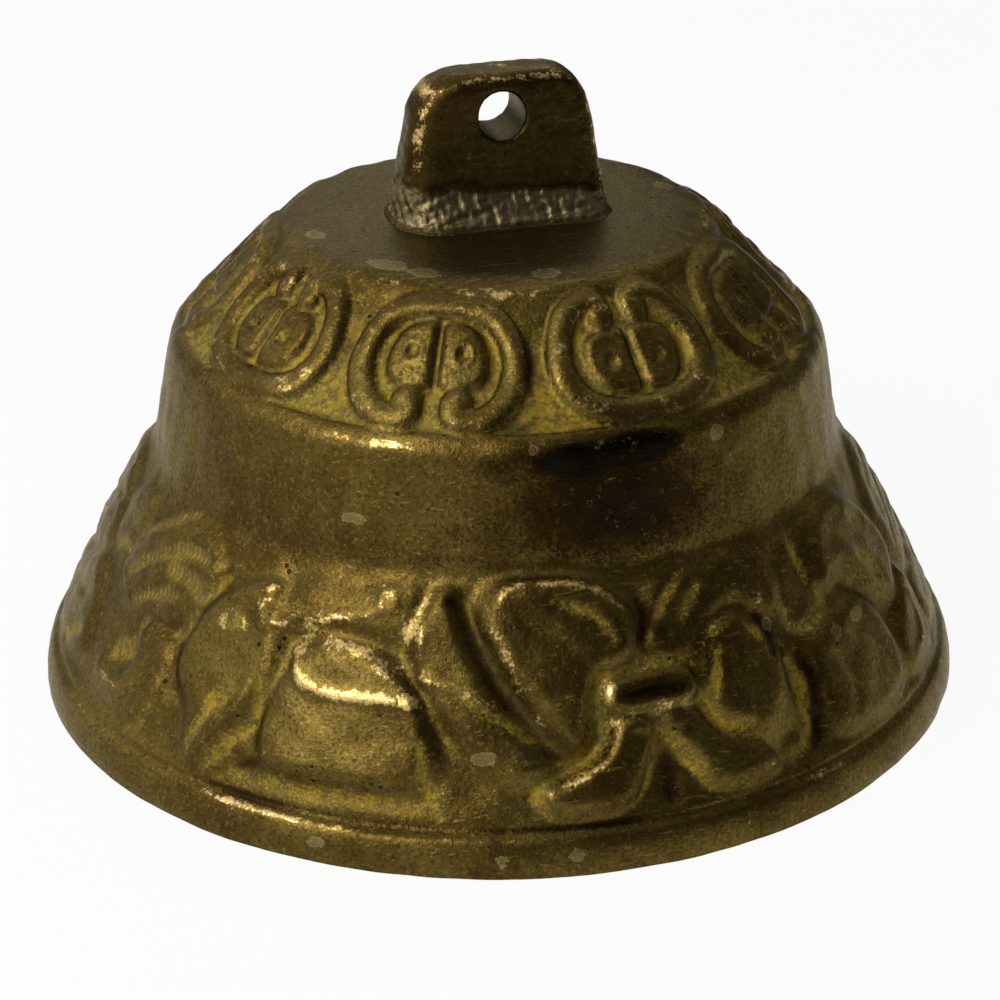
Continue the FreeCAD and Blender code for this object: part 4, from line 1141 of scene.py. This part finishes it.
def make_floor():
    """A pale floor that takes shadows, shows near white and can be looked through from below."""
    half = FLOOR_HALF
    corners = [(-half, -half, 0), (half, -half, 0), (half, half, 0), (-half, half, 0)]
    floor, nodes = stage_mesh("floor", corners, [(0, 1, 2, 3)],
                              shade=0.82, roughness=0.9, gloss=0.1)
    glow = nodes.node("ShaderNodeEmission", {"Color": WHITE}).outputs[0]
    shown = nodes.math("MULTIPLY", nodes.any_ray("Is Camera Ray", "Is Glossy Ray"), FLOOR_GLOW)
    lit = nodes.either(shown, nodes.surface.outputs[0], glow)
    below = nodes.node("ShaderNodeNewGeometry").outputs["Backfacing"]
    clear = nodes.node("ShaderNodeBsdfTransparent").outputs[0]
    whole = nodes.either(below, lit, clear)
    nodes.put(nodes.tree.nodes["Material Output"].inputs["Surface"], whole)


def make_world():
    """White where it is seen or mirrored, and at half strength as light."""
    world = bpy.data.worlds.new("studio")
    bpy.context.scene.world = world
    nodes = Nodes(world, "Background")
    seen = nodes.any_ray("Is Camera Ray", "Is Glossy Ray", "Is Transmission Ray")
    inputs = {"Value": seen, "To Min": WORLD_LIGHT, "To Max": 1.0}
    strength = nodes.node("ShaderNodeMapRange", inputs).outputs["Result"]
    nodes.fill(nodes.surface, {"Color": WHITE, "Strength": strength})


def add_flag(name, turns, rises, distance, shade):
    """A curved grey card that stands out of the camera's sight and dims what the metal mirrors."""
    across, up = 13, 7
    points = [outward(turn, rise) * distance for rise in np.linspace(*rises, up)
              for turn in np.linspace(*turns, across)]
    faces = [(start, start + 1, start + across + 1, start + across)
             for row in range(up - 1) for start in range(row * across, (row + 1) * across - 1)]
    flag, _ = stage_mesh(name, points, faces, shade, roughness=1.0, gloss=0.0)
    flag.visible_camera = False


# The pieces with their materials, and the studio.
casting, lug = casting_piece(), lug_piece()
fittings = [staple_piece(), link_piece(), rod_piece()]
ball = ball_piece()
casting.data.materials.append(bronze("aged_bronze_with_painted_light"))
lug.data.materials.append(bronze("lug_bronze_painted_dark", (LUG_REFLECTION_DARK, LUG_REFLECTION_BROWN), 0.3, bored=True))
for fitting in fittings:
    fitting.data.materials.append(iron("forged_iron_" + fitting.name))
ball.data.materials.append(brass("turned_brass"))

make_camera()
make_floor()
make_world()
add_lamp("key", -44, 40, 0.50, (0.26, 0.32), 1.45, (1.0, 0.97, 0.92))
add_lamp("left", -110, 25, 0.55, (0.20, 0.36), 0.2, (1.0, 0.98, 0.94))
add_flag("flag_right", (-4, 76), (0.5, 80), 0.46, 0.24)
add_flag("flag_far", (76, 128), (0.5, 66), 0.46, 0.48)
add_flag("flag_side", (128, 175), (0.5, 31), 0.46, 0.2)
add_flag("flag_back", (175, 245), (0.5, 17), 0.46, 0.40)
add_flag("flag_low", (14, 62), (0.5, 14), 0.44, 0.02)

bpy.context.scene.view_settings.view_transform = "Standard"
